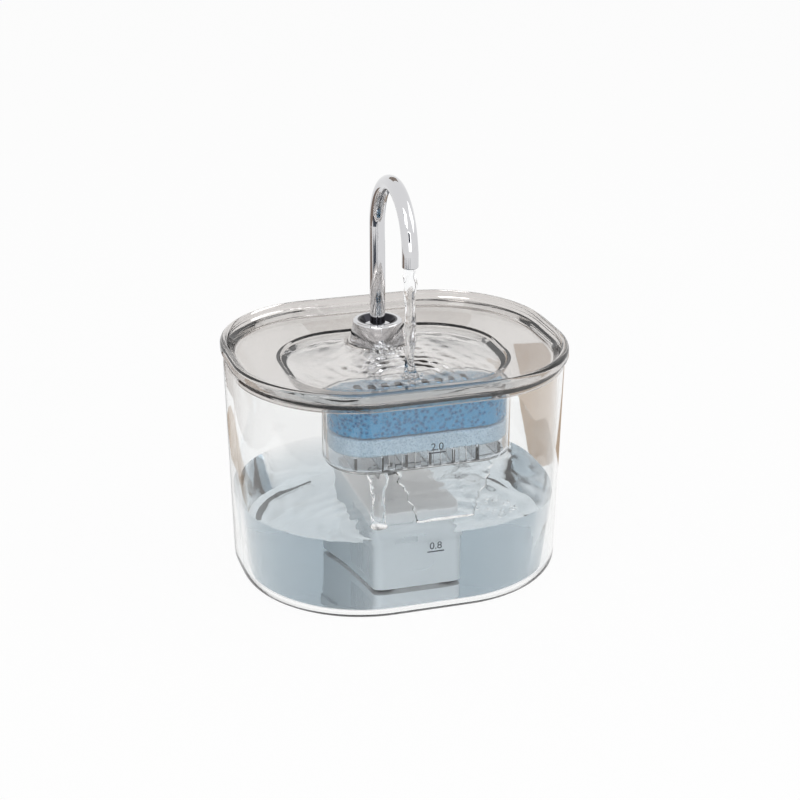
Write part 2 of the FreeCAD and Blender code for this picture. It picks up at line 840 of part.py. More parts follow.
def make_pump_motor():
    """The sealed coil block, with a blind well for the magnet, potting ribs and a bush seat."""
    z0 = pump_bottom_z + pump_wall
    half_y = (motor_back_y() - volute_back_y) / 2.0
    mid_y = (motor_back_y() + volute_back_y) / 2.0
    outline = (motor_half_width, half_y, motor_corner, mid_y)
    pieces = [moulding(outline, [(0.0, z0), (0.0, z0 + motor_height)])]
    for number in range(motor_rib_count):
        z = z0 + motor_height / 2.0 + (number - (motor_rib_count - 1) / 2.0) * motor_rib_pitch
        reach = motor_half_width + motor_rib_height
        pieces.append(box(-reach, reach, mid_y - motor_rib_length / 2.0, mid_y + motor_rib_length / 2.0,
                          z - motor_rib_width / 2.0, z + motor_rib_width / 2.0))
    flange_radius_here = volute_inner_radius + volute_wall
    pieces.append(rod(flange_radius_here, volute_back_y, volute_back_y + motor_flange, 0.0, axis_z))
    well = rod(well_radius, volute_back_y - cut_margin, well_bottom_y(), 0.0, axis_z)
    seat = rod(bush_radius + bush_gap, well_bottom_y(), well_bottom_y() + bush_length, 0.0, axis_z)
    return joined(pieces).cut(well).cut(seat)


def bush(y0):
    ring = rod(bush_radius, y0, y0 + bush_length, 0.0, axis_z)
    return ring.cut(rod(shaft_radius + bush_gap, y0, y0 + bush_length, 0.0, axis_z))


def make_shaft_bushes():
    return Part.makeCompound([bush(volute_front_y - bush_length), bush(well_bottom_y())])


def make_impeller_shaft():
    return rod(shaft_radius, volute_front_y - bush_length, well_bottom_y() + bush_length, 0.0, axis_z)


def vane(number):
    """One curved blade between two arcs, swept back from the hub to the rim."""
    start_radius = hub_radius - vane_root_overlap
    end_radius = impeller_radius - vane_tip_inset
    sides = []
    for side in (-1, 1):
        points = []
        for share in (0.0, 0.5, 1.0):
            radius = start_radius + (end_radius - start_radius) * share
            angle = math.radians(360.0 / vane_count * number + vane_sweep_deg * share * share)
            angle += math.atan2(side * vane_width / 2.0, radius)
            points.append(Vector(radius * math.sin(angle), 0, radius * math.cos(angle)))
        sides.append(points)
    left, right = sides
    wire = Part.Wire([Part.Arc(*left).toShape(), Part.makeLine(left[2], right[2]),
                      Part.Arc(right[2], right[1], right[0]).toShape(), Part.makeLine(right[0], left[0])])
    return Part.Face(wire).extrude(Vector(0, vane_height + impeller_disc / 2.0, 0))


def disc_front_y():
    return volute_back_y - impeller_disc - impeller_back_gap


def make_impeller():
    """A back disc with curved vanes on a hub whose tail carries the magnet."""
    hub_front_y = disc_front_y() - vane_height
    disc_back_y = disc_front_y() + impeller_disc
    pieces = [rod(impeller_radius, disc_front_y(), disc_back_y, 0.0, axis_z),
              rod(hub_radius, hub_front_y, disc_back_y, 0.0, axis_z),
              rod(hub_tail_radius, disc_front_y(), well_bottom_y() - magnet_end_gap / 2.0, 0.0, axis_z)]
    for number in range(vane_count):
        blade = vane(number)
        blade.translate(Vector(0, hub_front_y, axis_z))
        pieces.append(blade)
    bore = rod(shaft_radius + running_gap, hub_front_y - cut_margin, well_bottom_y(), 0.0, axis_z)
    return joined(pieces).cut(bore)


def make_impeller_magnet():
    y0 = disc_front_y() + impeller_disc
    y1 = well_bottom_y() - magnet_end_gap
    ring = rod(magnet_radius, y0, y1, 0.0, axis_z)
    return ring.cut(rod(hub_tail_radius + bush_gap, y0, y1, 0.0, axis_z))


def make_pre_filter_sponge():
    """The coarse foam block in the front of the pump box."""
    y0 = pump_wall + soft_gap - pump_half_length
    y1 = volute_front_y - cover_thickness - soft_gap
    z0 = pump_bottom_z + pump_wall + cup_head_height + soft_gap
    z1 = pump_box_top_z - lid_lip_depth - soft_gap
    outline = (pump_half_width - pump_wall - soft_gap, (y1 - y0) / 2.0,
               pump_corner - pump_wall - soft_gap, (y0 + y1) / 2.0)
    return moulding(outline, [(0.0, z0), (0.0, z1)])


def make_suction_cups():
    """Four rubber cups whose heads snap through the floor of the box."""
    neck_top = pump_bottom_z + pump_wall
    profile = [
        (0.0, floor_top_z + cup_hollow_height),
        (cup_radius - cup_lip_width, floor_top_z),
        (cup_radius, floor_top_z),
        (cup_neck_radius + cup_neck_flare, pump_bottom_z),
        (cup_neck_radius, pump_bottom_z),
        (cup_neck_radius, neck_top),
        (cup_head_radius, neck_top),
        (cup_neck_radius, neck_top + cup_head_height),
        (0.0, neck_top + cup_head_height),
    ]
    return Part.makeCompound([lathe(profile, x, y) for x, y in suction_cup_places()])


def make_cable_gland():
    """The rubber grommet in the rear of the box, where the lead comes out."""
    z = axis_z + gland_above_axis
    rear = pump_half_length
    nose_y = rear + gland_flange
    body = rod(gland_radius, rear - pump_wall, rear, 0.0, z)
    flange = rod(gland_flange_radius, rear, nose_y, 0.0, z)
    nose = Part.makeCone(gland_flange_radius - gland_nose_step, gland_bore_radius + gland_nose_wall,
                         gland_nose_length, Vector(0, nose_y, z), Vector(0, 1, 0))
    bore = rod(gland_bore_radius, rear - pump_wall, nose_y + gland_nose_length, 0.0, z)
    return joined([body, flange, nose]).cut(bore)


def main():
    os.makedirs("parts", exist_ok=True)
    save("tank", make_tank())
    save("tray", make_tray())
    save("faucet_base", make_faucet_base())
    save("base_seal", make_base_seal())
    save("faucet_stem", make_faucet_stem())
    save("stem_o_rings", make_o_rings())
    save("faucet_nut", make_faucet_nut())
    save("nut_seal", make_nut_seal())
    save("faucet_pipe", make_faucet_pipe())
    save("spout_tip", make_spout_tip())
    save("riser_tube", make_riser_tube())
    save("filter_case", make_filter_case())
    save("cotton_pad", make_cotton_pad())
    save("blue_sponge", make_blue_sponge())
    save("pump_housing", make_pump_housing())
    save("pump_lid", make_pump_lid())
    save("volute_chamber", make_volute_chamber())
    save("volute_cover", make_volute_cover())
    save("pump_motor", make_pump_motor())
    save("shaft_bushes", make_shaft_bushes())
    save("impeller_shaft", make_impeller_shaft())
    save("impeller", make_impeller())
    save("impeller_magnet", make_impeller_magnet())
    save("pre_filter_sponge", make_pre_filter_sponge())
    save("suction_cups", make_suction_cups())
    save("cable_gland", make_cable_gland())


main()
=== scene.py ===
# %% [markdown]
# A clear pet fountain is mostly glass-like plastic and water, so nearly everything we see is an edge or
# a reflection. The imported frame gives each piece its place. The clear shells are modelled again here,
# because light that bends through a wall shows every facet, and a fine, smooth mesh hides them.

# %% Load the frame
import math
import random

import bmesh
import bpy
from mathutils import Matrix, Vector, noise


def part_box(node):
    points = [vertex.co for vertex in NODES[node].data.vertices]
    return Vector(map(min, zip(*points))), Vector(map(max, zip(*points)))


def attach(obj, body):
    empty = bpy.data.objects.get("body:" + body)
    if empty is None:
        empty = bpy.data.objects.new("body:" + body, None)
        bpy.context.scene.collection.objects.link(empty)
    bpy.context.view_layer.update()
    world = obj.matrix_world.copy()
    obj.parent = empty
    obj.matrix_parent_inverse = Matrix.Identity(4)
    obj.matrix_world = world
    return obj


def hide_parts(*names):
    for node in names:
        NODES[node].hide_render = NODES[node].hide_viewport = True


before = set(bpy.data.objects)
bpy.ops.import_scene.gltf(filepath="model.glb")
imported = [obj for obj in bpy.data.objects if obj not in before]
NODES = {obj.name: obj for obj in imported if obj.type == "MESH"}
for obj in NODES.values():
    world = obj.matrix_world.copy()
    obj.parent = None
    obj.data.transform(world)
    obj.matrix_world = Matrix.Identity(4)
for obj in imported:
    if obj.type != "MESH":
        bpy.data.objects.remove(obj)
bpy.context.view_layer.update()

random.seed(11)

# %% [markdown]
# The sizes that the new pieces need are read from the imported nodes, or are named here in metres.
# A millimetre helper keeps the small wall thicknesses readable.

# %% Sizes
MM = 0.001
_, TANK_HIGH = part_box("tank")
_, TRAY_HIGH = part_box("tray")
CASE_LOW, CASE_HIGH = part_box("filter_case")
SPONGE_LOW, SPONGE_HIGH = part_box("blue_sponge")
COTTON_LOW, COTTON_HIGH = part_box("cotton_pad")
FOAM_LOW, FOAM_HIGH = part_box("pre_filter_sponge")
TIP_LOW, TIP_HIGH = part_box("spout_tip")
ROSE_LOW, ROSE_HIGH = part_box("faucet_base")

HALF_X = TRAY_HIGH.x
HALF_Y = TRAY_HIGH.y
HALF_STRAIGHT_SIDE = 7.5 * MM
CORNER = HALF_Y - HALF_STRAIGHT_SIDE
RIM_Z = TRAY_HIGH.z
TANK_TOP_Z = TANK_HIGH.z
FOOT = 1.5 * MM
TANK_WALL = 2.5 * MM
TANK_FLOOR = 3 * MM
DRAFT = 0.024
TRAY_WALL = 2.2 * MM
WATER_Z = 52 * MM
RISER_Y = (ROSE_LOW.y + ROSE_HIGH.y) / 2
SPOUT_Y = (TIP_LOW.y + TIP_HIGH.y) / 2
POOL_INSET = 34 * MM
POOL_SLOPE = 3.5 * MM
POOL_DROP = 10.5 * MM
POOL_DEPTH = 8 * MM
POOL_FREEBOARD = 1.8 * MM
POOL_EDGE_Z = RIM_Z - POOL_DROP
POOL_FLOOR_Z = POOL_EDGE_Z - POOL_DEPTH
POOL_WATER_Z = POOL_EDGE_Z - POOL_FREEBOARD
BOSS_TOP_Z = ROSE_LOW.z
BOSS_RADIUS = 20 * MM
print("rim at", round(RIM_Z, 4), "riser at y", round(RISER_Y, 4), "spout at y", round(SPOUT_Y, 4))

# %% [markdown]
# The camera comes first, so that everything is judged from the photograph's side. Its angle and lens
# were worked out from the tank's outline: a long lens from a little above and to the left.

# %% Camera
CAMERA_AZIMUTH = math.radians(-17.0)
CAMERA_ELEVATION = math.radians(21.479)
CAMERA_DISTANCE = 1.1
CAMERA_TARGET = Vector((0.004015, 0.0, 0.103255))
FOCAL_PIXELS = 1838.2
IMAGE_PIXELS = 800
SENSOR_MM = 36.0


def add_camera():
    back = Vector((
        math.sin(CAMERA_AZIMUTH) * math.cos(CAMERA_ELEVATION),
        -math.cos(CAMERA_AZIMUTH) * math.cos(CAMERA_ELEVATION),
        math.sin(CAMERA_ELEVATION),
    ))
    data = bpy.data.cameras.new("camera")
    data.sensor_fit = "HORIZONTAL"
    data.sensor_width = SENSOR_MM
    data.lens = FOCAL_PIXELS * SENSOR_MM / IMAGE_PIXELS
    data.clip_end = 20.0
    camera = bpy.data.objects.new("camera", data)
    camera.location = CAMERA_TARGET + back * CAMERA_DISTANCE
    camera.rotation_euler = back.to_track_quat("Z", "Y").to_euler()
    bpy.context.scene.collection.objects.link(camera)
    bpy.context.scene.camera = camera
    return camera


camera = add_camera()
print("lens", round(camera.data.lens, 1), "mm")

# %% [markdown]
# Materials start from one Principled shader each. What varies over a surface comes from shared node
# groups: faint smudges on clear plastic, the grain of moulded plastic, the cells of foam with painted
# shade in their pores.

# %% Material helpers
def node_group(name, inputs, outputs):
    """A shader node group, and its input and output nodes. A tuple's socket is a colour."""
    group = bpy.data.node_groups.new(name, "ShaderNodeTree")
    for label, value in inputs.items():
        kind = "NodeSocketColor" if isinstance(value, tuple) else "NodeSocketFloat"
        group.interface.new_socket(label, in_out="INPUT", socket_type=kind).default_value = value
    for label in outputs:
        kind = "NodeSocketColor" if label == "Color" else "NodeSocketFloat"
        group.interface.new_socket(label, in_out="OUTPUT", socket_type=kind)
    return group, group.nodes.new("NodeGroupInput"), group.nodes.new("NodeGroupOutput")


def noise_on_object(group, scale_socket, detail):
    """A noise texture on object coordinates, its scale taken from a socket."""
    place = group.nodes.new("ShaderNodeTexCoord")
    texture = group.nodes.new("ShaderNodeTexNoise")
    texture.inputs["Detail"].default_value = detail
    group.links.new(place.outputs["Object"], texture.inputs["Vector"])
    group.links.new(scale_socket, texture.inputs["Scale"])
    return texture


def mix_colors(group, factor, first, second):
    """Blends two colour sockets by a factor socket."""
    mix = group.nodes.new("ShaderNodeMix")
    mix.data_type = "RGBA"
    for label, socket in (("Factor", factor), ("A", first), ("B", second)):
        group.links.new(socket, mix.inputs[label])
    return mix.outputs["Result"]


def make_smudge_group():
    """Handling marks: roughness that drifts, and a height that is almost flat."""
    group, source, target = node_group("smudges", {"Scale": 30.0, "Low": 0.02, "High": 0.08},
                                       ("Roughness", "Height"))
    texture = noise_on_object(group, source.outputs["Scale"], 6.0)
    rough = group.nodes.new("ShaderNodeMapRange")
    group.links.new(texture.outputs["Fac"], rough.inputs["Value"])
    group.links.new(source.outputs["Low"], rough.inputs["To Min"])
    group.links.new(source.outputs["High"], rough.inputs["To Max"])
    group.links.new(rough.outputs["Result"], target.inputs["Roughness"])
    group.links.new(texture.outputs["Fac"], target.inputs["Height"])
    return group


def make_tint_group():
    """A colour that wavers between two tints, with a fine grain for its height."""
    group, source, target = node_group(
        "tinted_grain", {"Scale": 40.0, "First": (1, 1, 1, 1), "Second": (1, 1, 1, 1), "Grain Scale": 2500.0},
        ("Color", "Height"))
    wide = noise_on_object(group, source.outputs["Scale"], 4.0)
    fine = noise_on_object(group, source.outputs["Grain Scale"], 2.0)
    color = mix_colors(group, wide.outputs["Fac"], source.outputs["First"], source.outputs["Second"])
    group.links.new(color, target.inputs["Color"])
    group.links.new(fine.outputs["Fac"], target.inputs["Height"])
    return group


PORE_RADIUS = 0.15
STRUT_RADIUS = 0.6


def make_cell_group():
    """Open foam: pale struts, with painted shade in the pores between them."""
    group, source, target = node_group(
        "foam_cells", {"Scale": 500.0, "Pore Shade": (0, 0, 0, 1), "Strut": (1, 1, 1, 1)}, ("Color", "Height"))
    place = group.nodes.new("ShaderNodeTexCoord")
    cells = group.nodes.new("ShaderNodeTexVoronoi")
    group.links.new(place.outputs["Object"], cells.inputs["Vector"])
    group.links.new(source.outputs["Scale"], cells.inputs["Scale"])
    ramp = group.nodes.new("ShaderNodeMapRange")
    ramp.inputs["From Min"].default_value = PORE_RADIUS
    ramp.inputs["From Max"].default_value = STRUT_RADIUS
    group.links.new(cells.outputs["Distance"], ramp.inputs["Value"])
    color = mix_colors(group, ramp.outputs["Result"], source.outputs["Pore Shade"], source.outputs["Strut"])
    group.links.new(color, target.inputs["Color"])
    group.links.new(ramp.outputs["Result"], target.inputs["Height"])
    return group


SMUDGES = make_smudge_group()
TINTS = make_tint_group()
CELLS = make_cell_group()


def new_material(name, sockets):
    """A material with one Principled shader whose plain sockets are set by name."""
    material = bpy.data.materials.new(name)
    material.use_nodes = True
    shader = material.node_tree.nodes["Principled BSDF"]
    for label, value in sockets.items():
        shader.inputs[label].default_value = value
    return material, material.node_tree, shader


def add_group(tree, group, values):
    node = tree.nodes.new("ShaderNodeGroup")
    node.node_tree = group
    for label, value in values.items():
        node.inputs[label].default_value = value
    return node


def darker(color, share):
    """A share of a colour, opaque."""
    return tuple(share * c for c in color[:3]) + (1,)


def add_tint(tree, shader, values):
    """Colours a shader by the shared tint group."""
    tint = add_group(tree, TINTS, values)
    tree.links.new(tint.outputs["Color"], shader.inputs["Base Color"])
    return tint


def add_smudges(tree, shader, scale, low, high):
    """Makes a shader's roughness drift by the shared smudge group."""
    marks = add_group(tree, SMUDGES, {"Scale": scale, "Low": low, "High": high})
    tree.links.new(marks.outputs["Roughness"], shader.inputs["Roughness"])
    return marks


def mix_shaders(tree, factor, first, second):
    """Sends a material's surface to a blend of two shaders by a factor."""
    blend = tree.nodes.new("ShaderNodeMixShader")
    for number, socket in enumerate((factor, first, second)):
        tree.links.new(socket, blend.inputs[number])
    tree.links.new(blend.outputs[0], tree.nodes["Material Output"].inputs["Surface"])


def add_bump(tree, shader, height, strength, distance):
    bump = tree.nodes.new("ShaderNodeBump")
    bump.inputs["Strength"].default_value = strength
    bump.inputs["Distance"].default_value = distance
    tree.links.new(height, bump.inputs["Height"])
    tree.links.new(bump.outputs["Normal"], shader.inputs["Normal"])


print("node groups:", [g.name for g in bpy.data.node_groups])

# %% [markdown]
# Clear plastic is a Principled shader with full transmission. The tank is nearly colourless, the tray
# is smoky, and each carries faint smudges so that its highlights aren't perfectly clean. Shadow rays go
# straight through, so that the lamps light what stands inside and behind.

# %% Clear plastics
CLEAR_IOR = 1.47
SILICONE_IOR = 1.41
WATER_IOR = 1.333
TANK_WATER_IOR = 1.22


def let_light_in(tree, shader, color):
    """Lets the lamps' light straight through, as a thin clear wall does."""
    rays = tree.nodes.new("ShaderNodeLightPath")
    clear = tree.nodes.new("ShaderNodeBsdfTransparent")
    clear.inputs["Color"].default_value = color
    mix_shaders(tree, rays.outputs["Is Shadow Ray"], shader.outputs["BSDF"], clear.outputs["BSDF"])


def clear_plastic(name, first, second, roughest, smoothest=0.0, ior=CLEAR_IOR):
    material, tree, shader = new_material(
        name, {"Transmission Weight": 1.0, "IOR": ior, "Roughness": smoothest})
    add_tint(tree, shader, {"Scale": 14.0, "First": first, "Second": second})
    marks = add_smudges(tree, shader, 35.0, smoothest, roughest)
    add_bump(tree, shader, marks.outputs["Height"], 0.04, 0.0005)
    let_light_in(tree, shader, darker(first, 0.97))
    return material


TANK_CLEAR = clear_plastic("tank_clear", (0.985, 0.985, 0.98, 1), (0.965, 0.97, 0.97, 1), 0.03)
TRAY_SMOKY = clear_plastic("tray_smoky", (0.73, 0.705, 0.685, 1), (0.62, 0.59, 0.57, 1), 0.03)
CASE_CLEAR = clear_plastic("case_clear", (0.89, 0.91, 0.93, 1), (0.84, 0.87, 0.895, 1), 0.05)
SILICONE = clear_plastic("silicone_clear", (0.93, 0.94, 0.94, 1), (0.86, 0.87, 0.88, 1), 0.3, 0.15,
                         SILICONE_IOR)

# %% [markdown]
# Water needs its own bump: slow swells on the still surfaces, and streaks on the falling ones. The tank's
# water is deep, so it absorbs some light too. Its index is set below that of real water, because its sides
# would otherwise mirror more than they seem to.

# %% Water
def absorb(tree, color, density):
    """Depth darkens and tints a clear body."""
    volume = tree.nodes.new("ShaderNodeVolumeAbsorption")
    volume.inputs["Color"].default_value = color
    volume.inputs["Density"].default_value = density
    tree.links.new(volume.outputs["Volume"], tree.nodes["Material Output"].inputs["Volume"])


def water_material(name, tint, swell_scale, swell_height, ior=WATER_IOR):
    material, tree, shader = new_material(name, {"Transmission Weight": 1.0, "IOR": ior, "Roughness": 0.0})
    add_tint(tree, shader, {"Scale": 22.0, "First": tint, "Second": darker(tint, 0.985)})
    swell = add_smudges(tree, shader, swell_scale, 0.0, 0.01)
    add_bump(tree, shader, swell.outputs["Height"], 0.5, swell_height)
    let_light_in(tree, shader, (0.97, 0.98, 0.99, 1))
    return material


TANK_WATER = water_material("tank_water", (0.99, 0.992, 0.995, 1), 18.0, 0.0008, TANK_WATER_IOR)
absorb(TANK_WATER.node_tree, (0.66, 0.73, 0.77, 1), 19.0)
POOL_WATER = water_material("pool_water", (0.985, 0.985, 0.985, 1), 45.0, 0.0006)
FALLING_WATER = water_material("falling_water", (0.99, 0.995, 1.0, 1), 140.0, 0.0010)

# %% [markdown]
# Chrome, white moulded plastic, rubber and the hidden pump parts are opaque. Each has a little
# variation of colour and roughness, at the scale that the real finish has. The chrome base also has
# painted shade in the funnel round its pipe.

# %% Opaque finishes
FUNNEL_RADIUS = 12.2 * MM
FUNNEL_FADE_IN = 0.4 * MM
FUNNEL_FADE_OUT = 0.2 * MM
# Painted shade: the dark colour that the chrome takes in the funnel round the pipe.
FUNNEL_PAINTED_SHADE = (0.03, 0.03, 0.035, 1)


def chrome_material():
    material, tree, shader = new_material("chrome", {"Metallic": 1.0, "Roughness": 0.05})
    add_tint(tree, shader, {"Scale": 25.0, "First": (0.70, 0.70, 0.71, 1), "Second": (0.60, 0.60, 0.62, 1)})
    add_smudges(tree, shader, 120.0, 0.03, 0.10)
    return material


def vector_math(tree, operation, source, other=None):
    """A vector node that works on a socket and, where it takes one, a constant."""
    node = tree.nodes.new("ShaderNodeVectorMath")
    node.operation = operation
    tree.links.new(source, node.inputs[0])
    if other is not None:
        node.inputs[1].default_value = other
    return node


def funnel_chrome_material():
    """Chrome with painted shade near the pipe's axis: it turns dark where the funnel in the rose is in shade.
    """
    material = CHROME.copy()
    material.name = "funnel_chrome"
    tree = material.node_tree
    shader = tree.nodes["Principled BSDF"]
    place = tree.nodes.new("ShaderNodeTexCoord")
    from_axis = vector_math(tree, "SUBTRACT", place.outputs["Object"], (0, RISER_Y, 0))
    flat = vector_math(tree, "MULTIPLY", from_axis.outputs[0], (1, 1, 0))
    away = vector_math(tree, "LENGTH", flat.outputs[0])
    shade = tree.nodes.new("ShaderNodeMapRange")
    shade.interpolation_type = "SMOOTHSTEP"
    shade.inputs["From Min"].default_value = FUNNEL_RADIUS - FUNNEL_FADE_IN
    shade.inputs["From Max"].default_value = FUNNEL_RADIUS + FUNNEL_FADE_OUT
    tree.links.new(away.outputs["Value"], shade.inputs["Value"])
    # The funnel's painted shade, mixed into the chrome's colour by distance from the axis.
    dark = tree.nodes.new("ShaderNodeRGB")
    dark.outputs[0].default_value = FUNNEL_PAINTED_SHADE
    bright = shader.inputs["Base Color"].links[0].from_socket
    color = mix_colors(tree, shade.outputs["Result"], dark.outputs[0], bright)
    tree.links.new(color, shader.inputs["Base Color"])
    return material


def moulded(name, first, second, smoothest, roughest, grain):
    material, tree, shader = new_material(name, {})
    tint = add_tint(tree, shader, {"Scale": 45.0, "First": first, "Second": second, "Grain Scale": 1800.0})
    add_smudges(tree, shader, 90.0, smoothest, roughest)
    add_bump(tree, shader, tint.outputs["Height"], grain, 0.0002)
    return material


def foam_material(name, pore_shade, strut, scale, roughness, depth):
    material, tree, shader = new_material(name, {"Roughness": roughness, "Sheen Weight": 0.3})
    cells = add_group(tree, CELLS, {"Scale": scale, "Pore Shade": pore_shade, "Strut": strut})
    tree.links.new(cells.outputs["Color"], shader.inputs["Base Color"])
    add_bump(tree, shader, cells.outputs["Height"], 0.8, depth)
    return material


CHROME = chrome_material()
FUNNEL_CHROME = funnel_chrome_material()
WHITE = moulded("white_moulding", (0.86, 0.875, 0.885, 1), (0.80, 0.82, 0.835, 1), 0.28, 0.42, 0.3)
GREY = moulded("grey_moulding", (0.36, 0.37, 0.39, 1), (0.30, 0.31, 0.33, 1), 0.35, 0.5, 0.3)
RUBBER = moulded("black_rubber", (0.035, 0.035, 0.038, 1), (0.06, 0.06, 0.062, 1), 0.5, 0.75, 0.5)
POTTING = moulded("potting", (0.02, 0.02, 0.022, 1), (0.04, 0.04, 0.043, 1), 0.12, 0.3, 0.1)
CERAMIC = moulded("ceramic", (0.85, 0.84, 0.80, 1), (0.78, 0.77, 0.73, 1), 0.2, 0.3, 0.1)
FERRITE = moulded("ferrite", (0.07, 0.07, 0.075, 1), (0.11, 0.11, 0.115, 1), 0.35, 0.55, 0.4)
INK = moulded("mark_ink", (0.03, 0.035, 0.045, 1), (0.06, 0.065, 0.075, 1), 0.4, 0.6, 0.1)
# Each foam's first colour is painted shade in its pores, and the second is its struts.
BLUE_FOAM = foam_material("blue_foam", (0.01, 0.15, 0.36, 1), (0.06, 0.37, 0.66, 1), 420.0, 0.75, 0.0008)
COTTON = foam_material("cotton", (0.34, 0.50, 0.63, 1), (0.60, 0.74, 0.84, 1), 900.0, 0.9, 0.0003)
GREY_FOAM = foam_material("grey_foam", (0.03, 0.035, 0.045, 1), (0.16, 0.18, 0.21, 1), 420.0, 0.9, 0.0008)
print("materials:", len(bpy.data.materials))

# %% [markdown]
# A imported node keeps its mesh, which the packing made fine enough to look round, and only gets a better
# finish here.

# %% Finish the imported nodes
NODE_FINISH = (
    # The chrome base carries painted shade in its funnel.
    (FUNNEL_CHROME, "polished_chrome", ("faucet_base",)),
    (CHROME, "polished_chrome", ("faucet_stem", "faucet_pipe", "spout_tip")),
    (RUBBER, "dark_rubber", ("base_seal", "nut_seal", "stem_o_rings", "shaft_bushes", "suction_cups",
                             "cable_gland")),
    (WHITE, "white_plastic", ("faucet_nut", "pump_housing", "pump_lid", "impeller")),
    (GREY, "grey_plastic", ("volute_chamber", "volute_cover")),
    (POTTING, "potting", ("pump_motor",)),
    (CERAMIC, "shaft_ceramic", ("impeller_shaft",)),
    (FERRITE, "ferrite", ("impeller_magnet",)),
    (SILICONE, "silicone", ("riser_tube",)),
)


def finish_node(name, material):
    node = NODES[name]
    node.data.materials.clear()
    node.data.materials.append(material)


for finish, slot_name, node_names in NODE_FINISH:
    for node_name in node_names:
        finish_node(node_name, finish)
print("finished nodes:", sum(len(row[2]) for row in NODE_FINISH))

# %% [markdown]
# Every clear shell here is a rounded rectangle seen from above, so they share one way of working. A
# plane gets its corners bevelled, and its face is extruded again and again: each new ring is scaled to
# the next outline and moved to its height. Following the wall's section out, up, over and down again
# gives a closed shell with a real wall.

# %% Modelling helpers
CORNER_STEPS = 24
HOLD = 0.6 * MM
LONG_SPAN = 6 * HOLD


def deselect_everything():
    for thing in list(bpy.context.selected_objects):
        thing.select_set(False)


def select_only(piece):
    deselect_everything()
    piece.select_set(True)
    bpy.context.view_layer.objects.active = piece


def apply_transform():
    bpy.ops.object.transform_apply(location=True, rotation=True, scale=True)


def smooth_by(degrees):
    bpy.ops.object.shade_smooth_by_angle(angle=math.radians(degrees))


class RingShell:
    """A shell made of rounded rings, extruded one after another from a bevelled plane."""

    def __init__(self, name, half_x, half_y, corner, z, centre_y=0.0):
        deselect_everything()
        bpy.ops.mesh.primitive_plane_add(size=2, location=(0, 0, 0))
        self.piece = bpy.context.object
        self.piece.name = name
        self.piece.data.name = name
        self.centre_y = centre_y
        self.at = (half_x, half_y, z)
        bpy.ops.object.mode_set(mode="EDIT")
        bpy.ops.mesh.select_all(action="SELECT")
        bpy.ops.transform.resize(value=(half_x, half_y, 1), center_override=(0, 0, 0))
        bpy.ops.transform.translate(value=(0, centre_y, z))
        bpy.ops.mesh.bevel(offset=corner, segments=CORNER_STEPS, affect="VERTICES")

    def ring(self, half_x, half_y, z):
        """Extrudes to a new ring. Near the ends of a long wall, holding rings keep its shading flat."""
        start, end = Vector(self.at), Vector((half_x, half_y, z))
        span = (end - start).length
        if span > LONG_SPAN:
            self.extrude_to(*start.lerp(end, HOLD / span))
            self.extrude_to(*start.lerp(end, 1 - HOLD / span))
        return self.extrude_to(half_x, half_y, z)

    def extrude_to(self, half_x, half_y, z):
        """Extrudes the end face and sets it to a size and a height."""
        old_x, old_y, old_z = self.at
        bpy.ops.mesh.extrude_region_move()
        bpy.ops.transform.resize(value=(half_x / old_x, half_y / old_y, 1),
                                 center_override=(0, self.centre_y, old_z))
        bpy.ops.transform.translate(value=(0, 0, z - old_z))
        self.at = (half_x, half_y, z)
        return self

    def arc(self, grow, rise, steps, outward_first):
        """A quarter round: to a ring grown by one amount and raised by another."""
        start_x, start_y, start_z = self.at
        for step in range(1, steps + 1):
            turn = math.pi / 2 * step / steps
            flat, steep = math.sin(turn), 1 - math.cos(turn)
            across, along = (flat, steep) if outward_first else (steep, flat)
            self.ring(start_x + grow * across, start_y + grow * across, start_z + rise * along)
        return self

    def done(self, smooth_angle=35):
        bpy.ops.mesh.select_all(action="SELECT")
        bpy.ops.mesh.normals_make_consistent(inside=False)
        bpy.ops.object.mode_set(mode="OBJECT")
        smooth_by(smooth_angle)
        print(self.piece.name, len(self.piece.data.polygons), "faces")
        return self.piece


def body_shell(name, inset, z):
    """A shell that starts on the body's outline, drawn in by an inset."""
    return RingShell(name, HALF_X - inset, HALF_Y - inset, CORNER - inset, z)


def body_ring(shell, inset, z):
    """A shell's next ring, on the body's outline drawn in by an inset."""
    return shell.ring(HALF_X - inset, HALF_Y - inset, z)


def box_piece(name, low, high):
    """A box between two corners."""
    deselect_everything()
    middle = [(a + b) / 2 for a, b in zip(low, high)]
    size = [b - a for a, b in zip(low, high)]
    bpy.ops.mesh.primitive_cube_add(size=1, location=middle, scale=size)
    piece = bpy.context.object
    piece.name = name
    apply_transform()
    return piece


def riser_cutter(radius, depth, z, vertices=32):
    """A cylinder on the faucet's axis."""
    deselect_everything()
    bpy.ops.mesh.primitive_cylinder_add(vertices=vertices, radius=radius, depth=depth,
                                        location=(0, RISER_Y, z))
    cutter = bpy.context.object
    apply_transform()
    return cutter


def edit_chosen(parts, chosen):
    """Goes into edit mode with only the chosen faces or edges selected."""
    bpy.ops.object.mode_set(mode="EDIT")
    bpy.ops.mesh.select_all(action="DESELECT")
    data = bpy.context.object.data
    mesh = bmesh.from_edit_mesh(data)
    for part in getattr(mesh, parts):
        part.select = chosen(part)
    bmesh.update_edit_mesh(data)


def apply_boolean(piece, other, operation):
    """Joins or cuts with another mesh, which is then removed."""
    select_only(piece)
    modifier = piece.modifiers.new("boolean", "BOOLEAN")
    modifier.operation = operation
    modifier.solver = "EXACT"
    modifier.object = other
    bpy.ops.object.modifier_apply(modifier=modifier.name)
    bpy.data.objects.remove(other)


def put_on(piece, body, material, replaced=()):
    """Gives a finished piece its material, its body and the nodes that it stands for."""
    piece.data.materials.clear()
    piece.data.materials.append(material)
    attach(piece, body)
    if replaced:
        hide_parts(*replaced)


# %% [markdown]
# The tank: out from the middle of its base, round the base edge, up the outside with a slight lean, over
# a softly rounded lip and down the inside to the floor.

